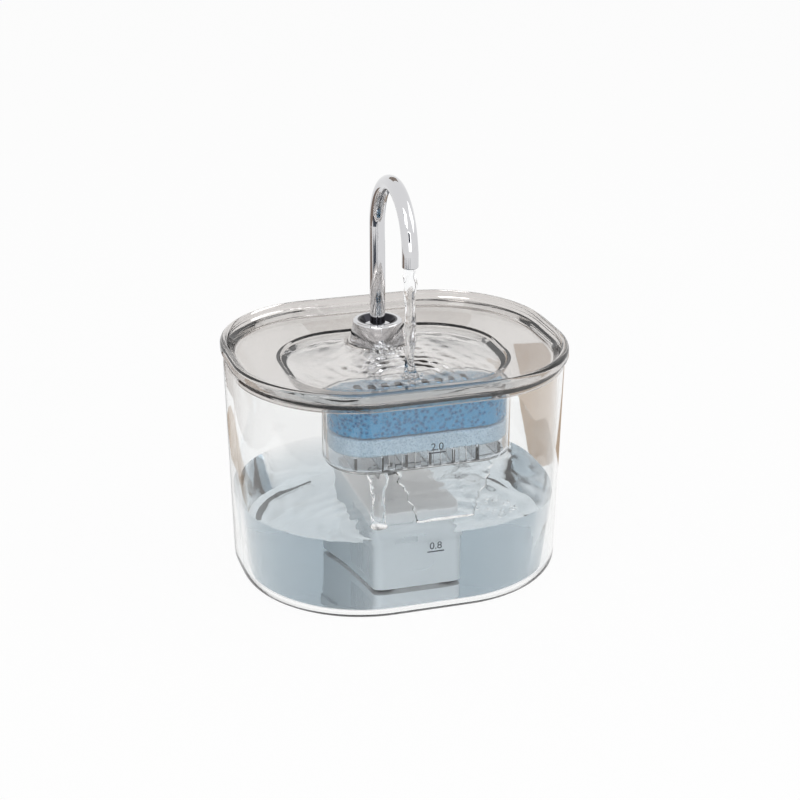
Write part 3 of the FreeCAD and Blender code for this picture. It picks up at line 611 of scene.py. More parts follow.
# %% Tank
BASE_ROUND = 8 * MM
INNER_ROUND = 6 * MM
TANK_LIP = 0.8 * MM
LIP_CORNER = 0.3 * TANK_LIP


def tank_inset(z):
    """How far in the tank's outside stands from the body's outline at a height."""
    return HALF_X - TANK_HIGH.x + (TANK_TOP_Z - z) * DRAFT


def make_tank():
    shell = body_shell("tank_shell", tank_inset(FOOT + BASE_ROUND) + BASE_ROUND, FOOT)
    shell.arc(BASE_ROUND, BASE_ROUND, 8, True)
    outer = tank_inset(TANK_TOP_Z)
    inner = outer + TANK_WALL
    body_ring(shell, outer, TANK_TOP_Z - TANK_LIP)
    body_ring(shell, outer + LIP_CORNER, TANK_TOP_Z - LIP_CORNER)
    body_ring(shell, outer + TANK_LIP, TANK_TOP_Z)
    body_ring(shell, inner - TANK_LIP, TANK_TOP_Z)
    body_ring(shell, inner, TANK_TOP_Z - TANK_LIP)
    low = FOOT + TANK_FLOOR + INNER_ROUND
    body_ring(shell, tank_inset(low) + TANK_WALL, low)
    shell.arc(-INNER_ROUND, -INNER_ROUND, 6, False)
    return shell.done()


tank_shell = make_tank()
put_on(tank_shell, "base", TANK_CLEAR, ("tank",))

# %% [markdown]
# The foot is a thin raised strip under each rounded corner. One strip is a ring cut by two bars, and
# the four stretches that are left stay in one mesh with the tank's finish.

# %% Foot
FOOT_INSET = tank_inset(FOOT) + 12 * MM
FOOT_WIDTH = 4 * MM
FOOT_CHAMFER = 0.3 * MM
FRONT_GAP = 70 * MM
SIDE_GAP = 44 * MM


def make_foot():
    shell = body_shell("tank_foot", FOOT_INSET, FOOT)
    body_ring(shell, FOOT_INSET, FOOT_CHAMFER)
    body_ring(shell, FOOT_INSET + FOOT_CHAMFER, 0.0)
    foot = shell.done()
    hole = body_shell("foot_hole", FOOT_INSET + FOOT_WIDTH, -MM)
    body_ring(hole, FOOT_INSET + FOOT_WIDTH, FOOT + MM)
    apply_boolean(foot, hole.done(), "DIFFERENCE")
    for half_x, half_y in ((FRONT_GAP / 2, HALF_Y), (HALF_X, SIDE_GAP / 2)):
        bar = box_piece("foot_bar", (-half_x, -half_y, -2 * FOOT), (half_x, half_y, 2 * FOOT))
        apply_boolean(foot, bar, "DIFFERENCE")
    return foot


tank_foot = make_foot()
put_on(tank_foot, "base", TANK_CLEAR)

# %% [markdown]
# The tray is one long section: under the pool, up its wall, out under the ledge, down and up the skirt
# that plugs the tank, over the rolled rim and back down to the pool's floor. The boss for the faucet is
# joined on, and the drain slots are cut through the pool's front.

# %% Tray
SKIRT_DEPTH = 6 * MM
SKIRT_GAP = 0.4 * MM
SKIRT_EDGE = 0.5 * MM
SKIRT_LOW_Z = TANK_TOP_Z - SKIRT_DEPTH
SKIRT_INSET = tank_inset(SKIRT_LOW_Z) + TANK_WALL + SKIRT_GAP
RIM_ROUND = 2.2 * MM
RIM_LOWER_ROUND = 0.8 * MM
RIM_INNER_GROW = -2.3 * MM
RIM_INNER_RISE = -2.0 * MM
LEDGE_INSET = 9 * MM
LEDGE_DROP = 8 * MM
LEDGE_Z = RIM_Z - LEDGE_DROP
LEDGE_HOLLOW = ((-1.2 * MM, 1.6 * MM), (-0.4 * MM, 0.5 * MM), (1.0 * MM, -0.05 * MM))
POOL_LIP_START = (-1.4 * MM, 0.12 * MM)
POOL_LIP_GROW = -1.6 * MM
POOL_LIP_RISE = -1.4 * MM
POOL_TOE = 0.6 * MM
POOL_TOE_ROUND = 1.4 * MM
BOSS_TOP_RADIUS = 18.5 * MM
BOSS_SUNK = 1.0 * MM
BOSS_EDGE = 0.8 * MM
SHANK_HOLE_RADIUS = 6.3 * MM
DRAIN_HALF_WIDTH = 2 * MM
DRAIN_HALF_LENGTH = 5.5 * MM
DRAIN_CORNER = 1.9 * MM
DRAIN_MARGIN = 4 * MM
DRAIN_PITCH = 8 * MM
DRAINS_EACH_SIDE = 4
TRAY_SMOOTH = 28


def tray_section(shell):
    """Extrudes the tray's whole section from the pool's underside to the pool's floor."""
    inner = SKIRT_INSET + TRAY_WALL
    body_ring(shell, POOL_INSET - TRAY_WALL, POOL_EDGE_Z - TRAY_WALL)
    body_ring(shell, inner, LEDGE_Z - TRAY_WALL)
    body_ring(shell, inner, SKIRT_LOW_Z + SKIRT_EDGE)
    shell.arc(SKIRT_EDGE, -SKIRT_EDGE, 3, False)
    body_ring(shell, SKIRT_INSET + SKIRT_EDGE, SKIRT_LOW_Z)
    shell.arc(SKIRT_EDGE, SKIRT_EDGE, 3, True)
    body_ring(shell, SKIRT_INSET, TANK_TOP_Z)
    body_ring(shell, RIM_LOWER_ROUND, TANK_TOP_Z)
    shell.arc(RIM_LOWER_ROUND, RIM_LOWER_ROUND, 3, True)
    body_ring(shell, 0, RIM_Z - RIM_ROUND)
    shell.arc(-RIM_ROUND, RIM_ROUND, 6, False)
    shell.arc(RIM_INNER_GROW, RIM_INNER_RISE, 6, True)
    for further_in, higher in LEDGE_HOLLOW:
        body_ring(shell, LEDGE_INSET + further_in, LEDGE_Z + higher)
    body_ring(shell, POOL_INSET + POOL_LIP_START[0], POOL_EDGE_Z + POOL_LIP_START[1])
    shell.arc(POOL_LIP_GROW, POOL_LIP_RISE, 5, True)
    body_ring(shell, POOL_INSET + POOL_SLOPE - POOL_TOE, POOL_FLOOR_Z + POOL_TOE_ROUND)
    shell.arc(-POOL_TOE_ROUND, -POOL_TOE_ROUND, 4, False)
    return shell


def make_boss():
    """The low round plinth that carries the chrome base."""
    deselect_everything()
    height = BOSS_TOP_Z - POOL_FLOOR_Z + BOSS_SUNK
    bpy.ops.mesh.primitive_cone_add(vertices=72, radius1=BOSS_RADIUS, radius2=BOSS_TOP_RADIUS, depth=height,
                                    location=(0, RISER_Y, BOSS_TOP_Z - height / 2))
    boss = bpy.context.object
    apply_transform()
    edit_chosen("faces", lambda face: face.normal.z > 0.9)
    bpy.ops.mesh.bevel(offset=BOSS_EDGE, segments=3, affect="EDGES")
    bpy.ops.object.mode_set(mode="OBJECT")
    return boss


def drain_cutter(x):
    """A rounded slot under the pool's front edge, set back where the outline curves."""
    reach = CORNER - POOL_INSET - POOL_SLOPE - DRAIN_MARGIN
    over = max(0.0, abs(x) + DRAIN_HALF_WIDTH - (HALF_X - CORNER))
    bow = reach - math.sqrt(reach * reach - over * over)
    front_y = POOL_INSET + POOL_SLOPE - HALF_Y + DRAIN_MARGIN + bow
    slot = RingShell("slot", DRAIN_HALF_WIDTH, DRAIN_HALF_LENGTH, DRAIN_CORNER, POOL_FLOOR_Z - 6 * MM,
                     front_y + DRAIN_HALF_LENGTH)
    slot.ring(DRAIN_HALF_WIDTH, DRAIN_HALF_LENGTH, POOL_FLOOR_Z + MM)
    cutter = slot.done()
    for vertex in cutter.data.vertices:
        vertex.co.x += x
    return cutter


def make_tray():
    shell = body_shell("tray_shell", POOL_INSET + POOL_SLOPE - TRAY_WALL, POOL_FLOOR_Z - TRAY_WALL)
    tray = tray_section(shell).done(TRAY_SMOOTH)
    apply_boolean(tray, make_boss(), "UNION")
    apply_boolean(tray, riser_cutter(SHANK_HOLE_RADIUS, 30 * MM, BOSS_TOP_Z), "DIFFERENCE")
    for number in range(-DRAINS_EACH_SIDE, DRAINS_EACH_SIDE + 1):
        apply_boolean(tray, drain_cutter(number * DRAIN_PITCH), "DIFFERENCE")
    smooth_by(TRAY_SMOOTH)
    return tray


tray_shell = make_tray()
put_on(tray_shell, "drinking_tray", TRAY_SMOKY, ("tray",))

# %% [markdown]
# The filter case is a thin clear box with a rounded base. Its lower front wall has a comb of upright
# slots, and ribs stand on its floor to hold the pads up.

# %% Filter case
CASE_MID_Y = (CASE_LOW.y + CASE_HIGH.y) / 2
CASE_HALF_X = CASE_HIGH.x
CASE_HALF_Y = (CASE_HIGH.y - CASE_LOW.y) / 2
CASE_WALL = 1.6 * MM
CASE_CORNER = 25 * MM
CASE_ROUND = 3 * MM
CASE_INNER_ROUND = 2 * MM
CASE_EDGE_IN = 0.4 * MM
CASE_EDGE_DOWN = 0.5 * MM
CASE_GAP = 0.4 * MM
COMB_COUNT = 8
COMB_PITCH = 7.6 * MM
COMB_HALF_WIDTH = 2.2 * MM
COMB_HEIGHT = 10 * MM
COMB_LOW_Z = CASE_LOW.z + 1.8 * MM
COMB_BACK_Y = CASE_LOW.y + CASE_WALL + 0.4 * MM
RIBS_EACH_SIDE = 3
RIB_PITCH = 14 * MM
RIB_HALF_WIDTH = 0.8 * MM
RIB_HEIGHT = 8 * MM
RIB_GAP = 0.3 * MM
RIB_CORNER = CASE_CORNER - 2 * MM


def case_ring(shell, inset, z):
    shell.ring(CASE_HALF_X - inset, CASE_HALF_Y - inset, z)


def make_case_box():
    shell = RingShell("filter_case_shell", CASE_HALF_X - CASE_ROUND, CASE_HALF_Y - CASE_ROUND,
                      CASE_CORNER - CASE_ROUND, CASE_LOW.z, CASE_MID_Y)
    shell.arc(CASE_ROUND, CASE_ROUND, 5, True)
    case_ring(shell, 0, CASE_HIGH.z - CASE_EDGE_DOWN)
    case_ring(shell, CASE_EDGE_IN, CASE_HIGH.z)
    case_ring(shell, CASE_WALL - CASE_EDGE_IN, CASE_HIGH.z)
    case_ring(shell, CASE_WALL, CASE_HIGH.z - CASE_EDGE_DOWN)
    case_ring(shell, CASE_WALL, CASE_LOW.z + CASE_WALL + CASE_INNER_ROUND)
    shell.arc(-CASE_INNER_ROUND, -CASE_INNER_ROUND, 4, False)
    return shell.done()


def pool_cutter(grow):
    """The pool's outside, grown by a gap, which the case's rim has to leave room for."""
    low = POOL_INSET + POOL_SLOPE - TRAY_WALL - grow
    high = POOL_INSET - TRAY_WALL - grow
    shell = body_shell("pool_cutter", low, POOL_FLOOR_Z - TRAY_WALL - grow)
    body_ring(shell, high, POOL_EDGE_Z - TRAY_WALL)
    body_ring(shell, high, RIM_Z)
    return shell.done()


def comb_cutter(x):
    return box_piece("comb_cutter", (x - COMB_HALF_WIDTH, CASE_LOW.y - MM, COMB_LOW_Z),
                     (x + COMB_HALF_WIDTH, COMB_BACK_Y, COMB_LOW_Z + COMB_HEIGHT))


def case_rib(x):
    """A rib across the case's floor, shorter where the corners curve in."""
    reach = CASE_HALF_Y - CASE_WALL - RIB_GAP
    over = abs(x) - (CASE_HALF_X - CASE_CORNER)
    if over > 0:
        reach = CASE_HALF_Y - CASE_CORNER + math.sqrt(RIB_CORNER ** 2 - over ** 2)
    return box_piece("rib", (x - RIB_HALF_WIDTH, CASE_MID_Y - reach, CASE_LOW.z + CASE_WALL / 2),
                     (x + RIB_HALF_WIDTH, CASE_MID_Y + reach, CASE_LOW.z + CASE_WALL + RIB_HEIGHT))


def make_case():
    case = make_case_box()
    for number in range(COMB_COUNT):
        apply_boolean(case, comb_cutter((number - (COMB_COUNT - 1) / 2) * COMB_PITCH), "DIFFERENCE")
    for number in range(-RIBS_EACH_SIDE, RIBS_EACH_SIDE + 1):
        apply_boolean(case, case_rib(number * RIB_PITCH), "UNION")
    apply_boolean(case, pool_cutter(CASE_GAP), "DIFFERENCE")
    smooth_by(30)
    return case


filter_case_shell = make_case()
put_on(filter_case_shell, "filter", CASE_CLEAR, ("filter_case",))

# %% [markdown]
# The pads are foam and wadding. Each starts as a rounded block, gets fine faces from a remesh and is
# pushed inwards by noise, so that its edges are soft and its faces uneven, and it stays in its case.

# %% Pads
PAD_CORNER = CASE_CORNER - 2 * MM
PUMP_PAD_CORNER = 2 * MM
PAD_EDGE = 1.5 * MM
PAD_GAP = 0.8 * MM
FINE_SCALE = 3.1
FINE_SHARE = 0.3


def rounded_block(name, low, high, corner):
    middle_y = (low.y + high.y) / 2
    half_x = (high.x - low.x) / 2
    half_y = (high.y - low.y) / 2
    soft = min(PAD_EDGE, (high.z - low.z) / 4)
    shell = RingShell(name, half_x - soft, half_y - soft, corner - soft, low.z, middle_y)
    shell.arc(soft, soft, 3, True)
    shell.ring(half_x, half_y, high.z - soft)
    shell.arc(-soft, soft, 3, False)
    return shell.done(60)


def soften(piece, voxel, depth, size, seed):
    """Remeshes a block and moves its points by noise, always inwards."""
    select_only(piece)
    remesh = piece.modifiers.new("remesh", "REMESH")
    remesh.mode = "VOXEL"
    remesh.voxel_size = voxel
    bpy.ops.object.modifier_apply(modifier=remesh.name)
    shift = Vector((seed, seed * 2.0, seed * 3.0))
    normals = [v.normal.copy() for v in piece.data.vertices]
    for vertex, normal in zip(piece.data.vertices, normals):
        wide = noise.noise(vertex.co * size + shift) * 0.5 + 0.5
        fine = noise.noise(vertex.co * size * FINE_SCALE + shift) * 0.5 + 0.5
        vertex.co -= normal * depth * ((1 - FINE_SHARE) * wide + FINE_SHARE * fine)
    bpy.ops.object.shade_smooth()


blue_pad = rounded_block("blue_filter_foam", SPONGE_LOW, SPONGE_HIGH, PAD_CORNER)
apply_boolean(blue_pad, pool_cutter(PAD_GAP), "DIFFERENCE")
soften(blue_pad, voxel=0.9 * MM, depth=0.9 * MM, size=350.0, seed=1.0)
put_on(blue_pad, "filter", BLUE_FOAM, ("blue_sponge",))
white_pad = rounded_block("filter_wadding", COTTON_LOW, COTTON_HIGH, PAD_CORNER)
soften(white_pad, voxel=1.0 * MM, depth=0.7 * MM, size=200.0, seed=2.0)
put_on(white_pad, "filter", COTTON, ("cotton_pad",))
coarse_pad = rounded_block("pump_foam", FOAM_LOW, FOAM_HIGH, PUMP_PAD_CORNER)
soften(coarse_pad, voxel=1.0 * MM, depth=0.8 * MM, size=450.0, seed=3.0)
put_on(coarse_pad, "base", GREY_FOAM, ("pre_filter_sponge",))

# %% [markdown]
# Still water is a closed body whose side lies just inside the wall. Its top is a disc of rings, lifted
# by ripples that spread from where the streams fall.

# %% Still water
WATER_GAP = 0.25 * MM
WATER_RINGS = 34
MIDDLE_SHARE = 0.004
TOUCH = 1e-6
RIPPLE_REACH = 3.2
CALM_SLOPE = 9
CALM_EDGE = 0.15
SWELL_SLICE = 0.3
BOSS_WATER_GAP = 0.3 * MM
NARROW_STREAM_X = -28 * MM
WIDE_STREAM_X = 12 * MM
STREAM_Y = CASE_LOW.y + 10 * MM


def ripple(x, y, centres):
    """Height of the surface at a point, from rings that fade with distance."""
    height = 0.0
    for cx, cy, strength, wavelength in centres:
        distance = math.hypot(x - cx, y - cy)
        fade = math.exp(-distance / (RIPPLE_REACH * wavelength))
        height += strength * fade * math.cos(2 * math.pi * distance / wavelength)
    return height


def still_water(name, inset, bottom_inset, bottom_z, top_z, centres, swell, swell_size):
    """A body of water in the body's outline, drawn in by an inset, and further in at its bottom."""
    half_x, half_y = HALF_X - inset, HALF_Y - inset
    shell = body_shell(name, inset + bottom_inset, bottom_z)
    shell.ring(half_x, half_y, top_z)
    for step in range(1, WATER_RINGS):
        share = 1 - step / WATER_RINGS
        shell.ring(half_x * share, half_y * share, top_z)
    shell.ring(half_x * MIDDLE_SHARE, half_y * MIDDLE_SHARE, top_z)
    water = shell.done(80)
    for vertex in water.data.vertices:
        x, y, z = vertex.co
        if z > top_z - TOUCH:
            edge = max(abs(x) / half_x, abs(y) / half_y)
            calm = min(1.0, (1 - edge) * CALM_SLOPE + CALM_EDGE)
            wave = ripple(x, y, centres)
            wave += swell * noise.noise(Vector((x, y, SWELL_SLICE)) * swell_size)
            vertex.co.z += wave * calm
    return water


def make_tank_water():
    inset = tank_inset(WATER_Z) + TANK_WALL + WATER_GAP
    centres = [(NARROW_STREAM_X, STREAM_Y, 0.9 * MM, 9 * MM), (WIDE_STREAM_X, STREAM_Y, 0.8 * MM, 13 * MM),
               (40 * MM, -30 * MM, 0.5 * MM, 16 * MM)]
    return still_water("tank_water", inset, 5 * MM, FOOT + TANK_FLOOR + WATER_GAP, WATER_Z, centres,
                       swell=0.9 * MM, swell_size=34.0)


def make_pool_water():
    share = POOL_FREEBOARD / POOL_DEPTH
    inset = POOL_INSET + POOL_SLOPE * share + WATER_GAP
    centres = [(0.0, SPOUT_Y, 0.8 * MM, 7 * MM), (-3 * MM, RISER_Y - 26 * MM, 0.4 * MM, 8 * MM)]
    water = still_water("pool_water", inset, POOL_SLOPE * (1 - share), POOL_FLOOR_Z + WATER_GAP,
                        POOL_WATER_Z, centres, swell=0.35 * MM, swell_size=70.0)
    boss_cutter = riser_cutter(BOSS_RADIUS + BOSS_WATER_GAP, 40 * MM, POOL_WATER_Z, 72)
    apply_boolean(water, boss_cutter, "DIFFERENCE")
    smooth_by(50)
    return water


tank_water = make_tank_water()
put_on(tank_water, "base", TANK_WATER)
pool_water = make_pool_water()
put_on(pool_water, "drinking_tray", POOL_WATER)

# %% [markdown]
# Falling water necks in as it speeds up and twists a little. Each stream is a cylinder with many rings
# whose radius and centre follow a formula, so that light breaks up along it.

# %% Falling water
STREAM_LAP = 0.5 * MM
RING_PITCH = 1.1 * MM
FEWEST_RINGS = 12
FLARE_SHARE = 0.1
LUMP = 0.12
LUMPS_DOWN = 9.0
ROPE_POWER = 8
FILM_WAVE = 0.08
FILM_WAVES_ACROSS = 2.2
FILM_WAVES_DOWN = 5.0
FILTER_STREAM_TOP = CASE_LOW.z - 0.2 * MM
FILTER_STREAM_FOOT = WATER_Z + STREAM_LAP


def ringed_cylinder(name, rings):
    """A cylinder one unit in radius and length, with rings cut round its side."""
    deselect_everything()
    bpy.ops.mesh.primitive_cylinder_add(vertices=32, radius=1.0, depth=1.0, end_fill_type="NGON",
                                        location=(0, 0, 0))
    piece = bpy.context.object
    piece.name = name
    edit_chosen("edges", lambda edge: abs(edge.verts[0].co.z - edge.verts[1].co.z) > 0.9)
    bpy.ops.mesh.subdivide(number_cuts=rings)
    bpy.ops.object.mode_set(mode="OBJECT")
    return piece


def falling_stream(name, x, y, top_z, bottom_z, top_size, bottom_size, twist, wobble, flare, film=1.0,
                   necking=0.55):
    """A column of elliptical rings from the top down. A size is a half width and a half depth.

    A film below 1 thins the middle of a wide stream and leaves a rope of water down each side.
    """
    stream = ringed_cylinder(name, max(FEWEST_RINGS, int((top_z - bottom_z) / RING_PITCH)))
    for vertex in stream.data.vertices:
        share = 0.5 - vertex.co.z
        angle = math.atan2(vertex.co.y, vertex.co.x)
        across, along = math.cos(angle), math.sin(angle)
        fall = share ** necking
        half_w = top_size[0] + (bottom_size[0] - top_size[0]) * fall
        half_d = top_size[1] + (bottom_size[1] - top_size[1]) * fall
        lobes = 1 + wobble * math.sin(2 * angle + twist * share)
        lobes += 0.6 * wobble * math.sin(3 * angle - 1.7 * twist * share)
        foot = flare * max(0.0, (share - (1 - FLARE_SHARE)) / FLARE_SHARE) ** 2
        lumps = 1 + LUMP * noise.noise(Vector((across, along, share * LUMPS_DOWN)))
        rope = film + (1 - film) * abs(across) ** ROPE_POWER
        wave = (1 - film) * half_w * FILM_WAVE * noise.noise(
            Vector((across * FILM_WAVES_ACROSS, share * FILM_WAVES_DOWN, twist)))
        vertex.co.x = x + across * (half_w * lobes * lumps + foot)
        vertex.co.y = y + wave + along * (half_d * rope * lobes * lumps + foot)
        vertex.co.z = top_z + (bottom_z - top_z) * share
    select_only(stream)
    smooth_by(60)
    print(name, len(stream.data.polygons), "faces")
    return stream


spout_stream = falling_stream(
    "spout_stream", 0.0, SPOUT_Y, TIP_LOW.z + STREAM_LAP, POOL_WATER_Z - STREAM_LAP,
    (3.6 * MM, 3.6 * MM), (3.0 * MM, 2.4 * MM), twist=14.0, wobble=0.14, flare=2.5 * MM)
put_on(spout_stream, "faucet", FALLING_WATER)
narrow_stream = falling_stream(
    "narrow_filter_stream", NARROW_STREAM_X, STREAM_Y, FILTER_STREAM_TOP, FILTER_STREAM_FOOT,
    (6.0 * MM, 3.0 * MM), (3.2 * MM, 2.4 * MM), twist=10.0, wobble=0.16, flare=2.0 * MM)
put_on(narrow_stream, "filter", FALLING_WATER)
wide_stream = falling_stream(
    "wide_filter_stream", WIDE_STREAM_X, STREAM_Y, FILTER_STREAM_TOP, FILTER_STREAM_FOOT,
    (30 * MM, 5.0 * MM), (17 * MM, 4.0 * MM), twist=6.0, wobble=0.03, flare=1.0 * MM, film=0.2, necking=1.0)
put_on(wide_stream, "filter", FALLING_WATER)

# %% [markdown]
# Where water lands it throws up beads. Each bead is a small sphere that touches no other one, and all the
# beads of a landing are one piece.

# %% Splash beads
TRIES_PER_BEAD = 6
SMALLEST_BEAD = 0.3
BEAD_LIFT = 0.5
BEAD_GAP = 0.1 * MM


def splash(name, x, y, z, spread, height, count, largest):
    """Round beads scattered about a landing, the lower the farther out."""
    placed = []
    deselect_everything()
    for _ in range(count * TRIES_PER_BEAD):
        if len(placed) == count:
            break
        radius = largest * random.uniform(SMALLEST_BEAD, 1.0)
        away = spread * math.sqrt(random.random())
        turn = random.uniform(0, 2 * math.pi)
        rise = height * random.random() * (1 - away / spread)
        place = Vector((x + away * math.cos(turn), y + away * math.sin(turn), z + radius * BEAD_LIFT + rise))
        if any((place - other).length < radius + size + BEAD_GAP for other, size in placed):
            continue
        placed.append((place, radius))
    beads = []
    for place, radius in placed:
        bpy.ops.mesh.primitive_uv_sphere_add(segments=16, ring_count=10, radius=radius, location=place)
        beads.append(bpy.context.object)
    for bead in beads:
        bead.select_set(True)
    bpy.context.view_layer.objects.active = beads[0]
    bpy.ops.object.join()
    apply_transform()
    bpy.ops.object.shade_smooth()
    piece = bpy.context.object
    piece.name = name
    piece.data.name = name
    print(name, len(placed), "beads")
    return piece


rose_splash = splash("rose_splash", -2 * MM, RISER_Y - 25 * MM, POOL_WATER_Z + 1.0 * MM,
                     spread=9 * MM, height=5 * MM, count=46, largest=1.3 * MM)
put_on(rose_splash, "drinking_tray", FALLING_WATER)
spout_splash = splash("spout_splash", 0.0, SPOUT_Y - 5 * MM, POOL_WATER_Z + 1.0 * MM,
                      spread=8 * MM, height=2 * MM, count=22, largest=1.0 * MM)
put_on(spout_splash, "drinking_tray", FALLING_WATER)
tank_splash = splash("tank_splash", 44 * MM, STREAM_Y + 4 * MM, WATER_Z + 1.2 * MM,
                     spread=13 * MM, height=3 * MM, count=36, largest=1.3 * MM)
put_on(tank_splash, "base", FALLING_WATER)

# %% [markdown]
# The level marks are printed on the front wall: a short line each, with a plain number of litres above
# it. They are thin slabs on the wall's outside, about a tenth of a millimetre proud.

# %% Level marks
MARK_THICKNESS = 0.12 * MM
MARK_SUNK = 0.02 * MM
MARK_EDGE = 0.03 * MM
MARK_HALF_LENGTH = 5.0 * MM
MARK_HALF_HEIGHT = 0.35 * MM
NUMBER_SIZE = 6.2 * MM
NUMBER_LIFT = 1.6 * MM
UPPER_MARK_Z = 104 * MM
LOWER_MARK_Z = 42.3 * MM


def front_wall_y(z):
    return -(HALF_Y - tank_inset(z))


def edit_all(operator, **options):
    """Runs one mesh operator on everything in the active mesh."""
    bpy.ops.object.mode_set(mode="EDIT")
    bpy.ops.mesh.select_all(action="SELECT")
    operator(**options)
    bpy.ops.object.mode_set(mode="OBJECT")


def mark_line(name, z):
    y = front_wall_y(z)
    line = box_piece(name, (-MARK_HALF_LENGTH, y - MARK_THICKNESS, z - MARK_HALF_HEIGHT),
                     (MARK_HALF_LENGTH, y + MARK_SUNK, z + MARK_HALF_HEIGHT))
    edit_all(bpy.ops.mesh.bevel, offset=MARK_EDGE, segments=1, affect="EDGES")
    put_on(line, "base", INK)


def mark_number(name, words, z):
    deselect_everything()
    bpy.ops.object.text_add(location=(0, 0, 0))
    text = bpy.context.object
    text.name = name
    text.data.body = words
    text.data.size = NUMBER_SIZE
    text.data.align_x = "CENTER"
    text.data.extrude = MARK_THICKNESS / 2
    bpy.ops.object.convert(target="MESH")
    text = bpy.context.object
    edit_all(bpy.ops.mesh.remove_doubles, threshold=TOUCH)
    for vertex in text.data.vertices:
        x, up, out = vertex.co
        here = z + NUMBER_LIFT + up
        vertex.co = Vector((x, front_wall_y(here) - MARK_THICKNESS / 2 - out, here))
    edit_all(bpy.ops.mesh.normals_make_consistent, inside=False)
    put_on(text, "base", INK)


mark_line("upper_mark_line", UPPER_MARK_Z)
mark_line("lower_mark_line", LOWER_MARK_Z)
mark_number("upper_mark_number", "2.0", UPPER_MARK_Z)
mark_number("lower_mark_number", "0.8", LOWER_MARK_Z)

# %% [markdown]
# The studio: a pale floor, a soft world and three area lights. The camera, and rays that a shiny or clear
# surface sends on, see a white world and a nearly white floor. Dark, brown and tan cards lie on the floor
# or hang about, because chrome and clear plastic only show their form when there is something darker to
# reflect. The camera sees none of them, and clear plastic sees only the two tan ones through itself.

# %% Studio
SEEN_RAYS = ("Is Camera Ray", "Is Glossy Ray", "Is Transmission Ray")
PAPER_GLOW = 0.93
PAPER_COLOR = (0.94, 0.94, 0.94, 1)
WORLD_UNSEEN = 0.55
WORLD_SEEN = 1.0
LAMPS = (
    ("key", (-0.9, -0.9, 1.5), 0.9, 9.0, (0, 0, 0.1)),
    ("fill", (1.2, -0.4, 1.1), 1.0, 4.0, (0, 0, 0.1)),
    ("front", (-0.3, -1.3, 0.45), 0.8, 3.5, (0, 0, 0.05)),
)
LYING = 0
ON_FLOOR = 0.002
ABOVE_CARDS = 0.004
DARK = (0.03, 0.04, 0.06, 1)
CARDS = (
    ("dark_left", (-0.38, -0.26, ON_FLOOR), (0.34, 0.48), 34, LYING, DARK),
    ("brown_left", (-0.42, 0.26, ON_FLOOR), (0.44, 0.50), -29, LYING, (0.30, 0.23, 0.19, 1)),
    ("dark_front", (-0.13, -0.48, ON_FLOOR), (0.05, 0.40), -17, LYING, DARK),
    ("grey_right", (0.26, 0.42, ON_FLOOR), (0.22, 0.36), -33, LYING, (0.25, 0.26, 0.28, 1)),
    ("dark_above", (-0.55, -0.35, 0.75), (0.5, 0.35), 57, 50, (0.04, 0.05, 0.07, 1)),
    ("brown_above", (0.10, 0.75, 0.70), (0.5, 0.30), 180, 60, (0.34, 0.28, 0.24, 1)),
    ("camera_card", (-0.27, -0.93, 0.50), (0.4, 0.3), -17, 68, (0.02, 0.03, 0.05, 1)),
    ("tan_right", (0.215, 0.20, ABOVE_CARDS), (0.09, 0.25), -17, LYING, (0.58, 0.45, 0.34, 1)),
    ("tan_left", (-0.15, 0.16, ABOVE_CARDS), (0.05, 0.20), -17, LYING, (0.70, 0.58, 0.47, 1)),
)
SEEN_THROUGH_PLASTIC = ("tan_right", "tan_left")


def stage_material(name, color):
    material, tree, shader = new_material(name, {"Roughness": 0.9})
    add_tint(tree, shader, {"Scale": 3.0, "First": color, "Second": darker(color, 0.99)})
    return material


def any_ray(tree, labels):
    """One where a ray is of any of the named kinds, and zero elsewhere."""
    rays = tree.nodes.new("ShaderNodeLightPath")
    found = rays.outputs[labels[0]]
    for label in labels[1:]:
        together = tree.nodes.new("ShaderNodeMath")
        together.operation = "MAXIMUM"
        tree.links.new(found, together.inputs[0])
        tree.links.new(rays.outputs[label], together.inputs[1])
        found = together.outputs[0]
    return found


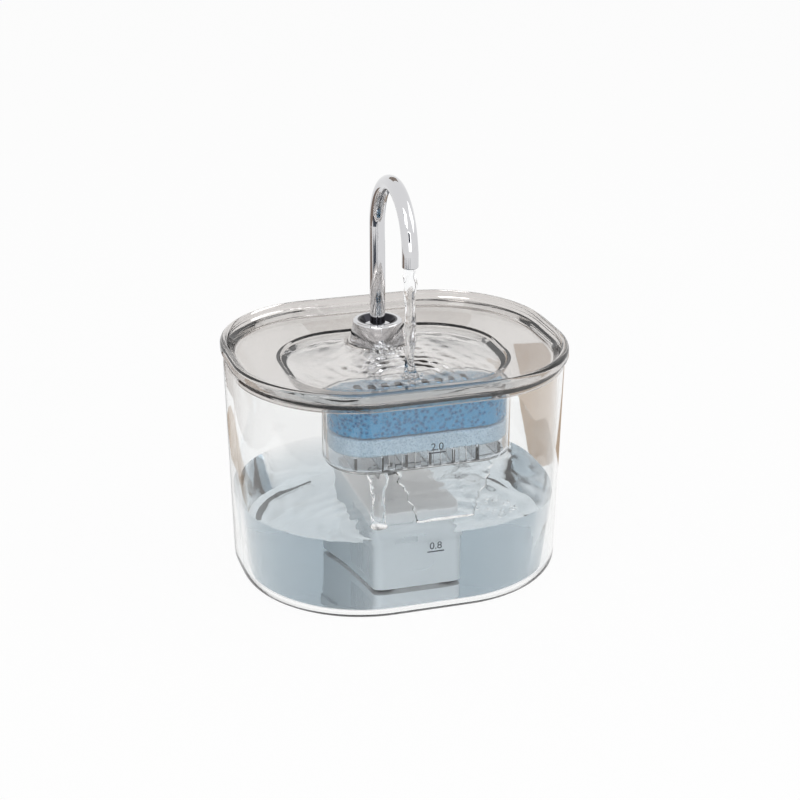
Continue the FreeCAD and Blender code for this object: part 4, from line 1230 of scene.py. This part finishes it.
def paper_material():
    """White paper that keeps a share of its own shading, so that the shadow stays."""
    material = stage_material("floor_paper", PAPER_COLOR)
    tree = material.node_tree
    glow = tree.nodes.new("ShaderNodeEmission")
    glow.inputs["Strength"].default_value = 1.0
    share = tree.nodes.new("ShaderNodeMath")
    share.operation = "MULTIPLY"
    share.inputs[1].default_value = PAPER_GLOW
    tree.links.new(any_ray(tree, SEEN_RAYS), share.inputs[0])
    mix_shaders(tree, share.outputs[0], tree.nodes["Principled BSDF"].outputs[0], glow.outputs[0])
    return material


def make_world():
    world = bpy.data.worlds.new("studio")
    bpy.context.scene.world = world
    world.use_nodes = True
    tree = world.node_tree
    background = tree.nodes["Background"]
    strength = tree.nodes.new("ShaderNodeMapRange")
    strength.inputs["To Min"].default_value = WORLD_UNSEEN
    strength.inputs["To Max"].default_value = WORLD_SEEN
    tree.links.new(any_ray(tree, SEEN_RAYS), strength.inputs["Value"])
    background.inputs["Color"].default_value = (1, 1, 1, 1)
    tree.links.new(strength.outputs["Result"], background.inputs["Strength"])


def area_light(name, location, size, power, target):
    data = bpy.data.lights.new(name, "AREA")
    data.shape = "SQUARE"
    data.size = size
    data.energy = power
    light = bpy.data.objects.new(name, data)
    light.location = location
    light.rotation_euler = (Vector(location) - Vector(target)).to_track_quat("Z", "Y").to_euler()
    bpy.context.scene.collection.objects.link(light)


def make_floor():
    deselect_everything()
    bpy.ops.mesh.primitive_plane_add(size=8, location=(0, 0, 0))
    floor = bpy.context.object
    floor.name = "floor"
    floor.data.materials.append(paper_material())


def make_card(name, location, size, turn, tilt, color):
    """A card that shiny surfaces can mirror, but the camera can't see."""
    deselect_everything()
    bpy.ops.mesh.primitive_plane_add(size=1, location=location,
                                     rotation=(math.radians(tilt), 0, math.radians(turn)))
    card = bpy.context.object
    card.name = name
    card.scale = (*size, 1)
    bpy.ops.object.transform_apply(location=False, rotation=False, scale=True)
    card.data.materials.append(stage_material(name + "_paint", color))
    card.visible_camera = False
    card.visible_shadow = False
    card.visible_diffuse = False
    card.visible_transmission = name in SEEN_THROUGH_PLASTIC


bpy.context.scene.view_settings.view_transform = "Standard"
make_world()
make_floor()
for lamp in LAMPS:
    area_light(*lamp)
for card_plan in CARDS:
    make_card(*card_plan)
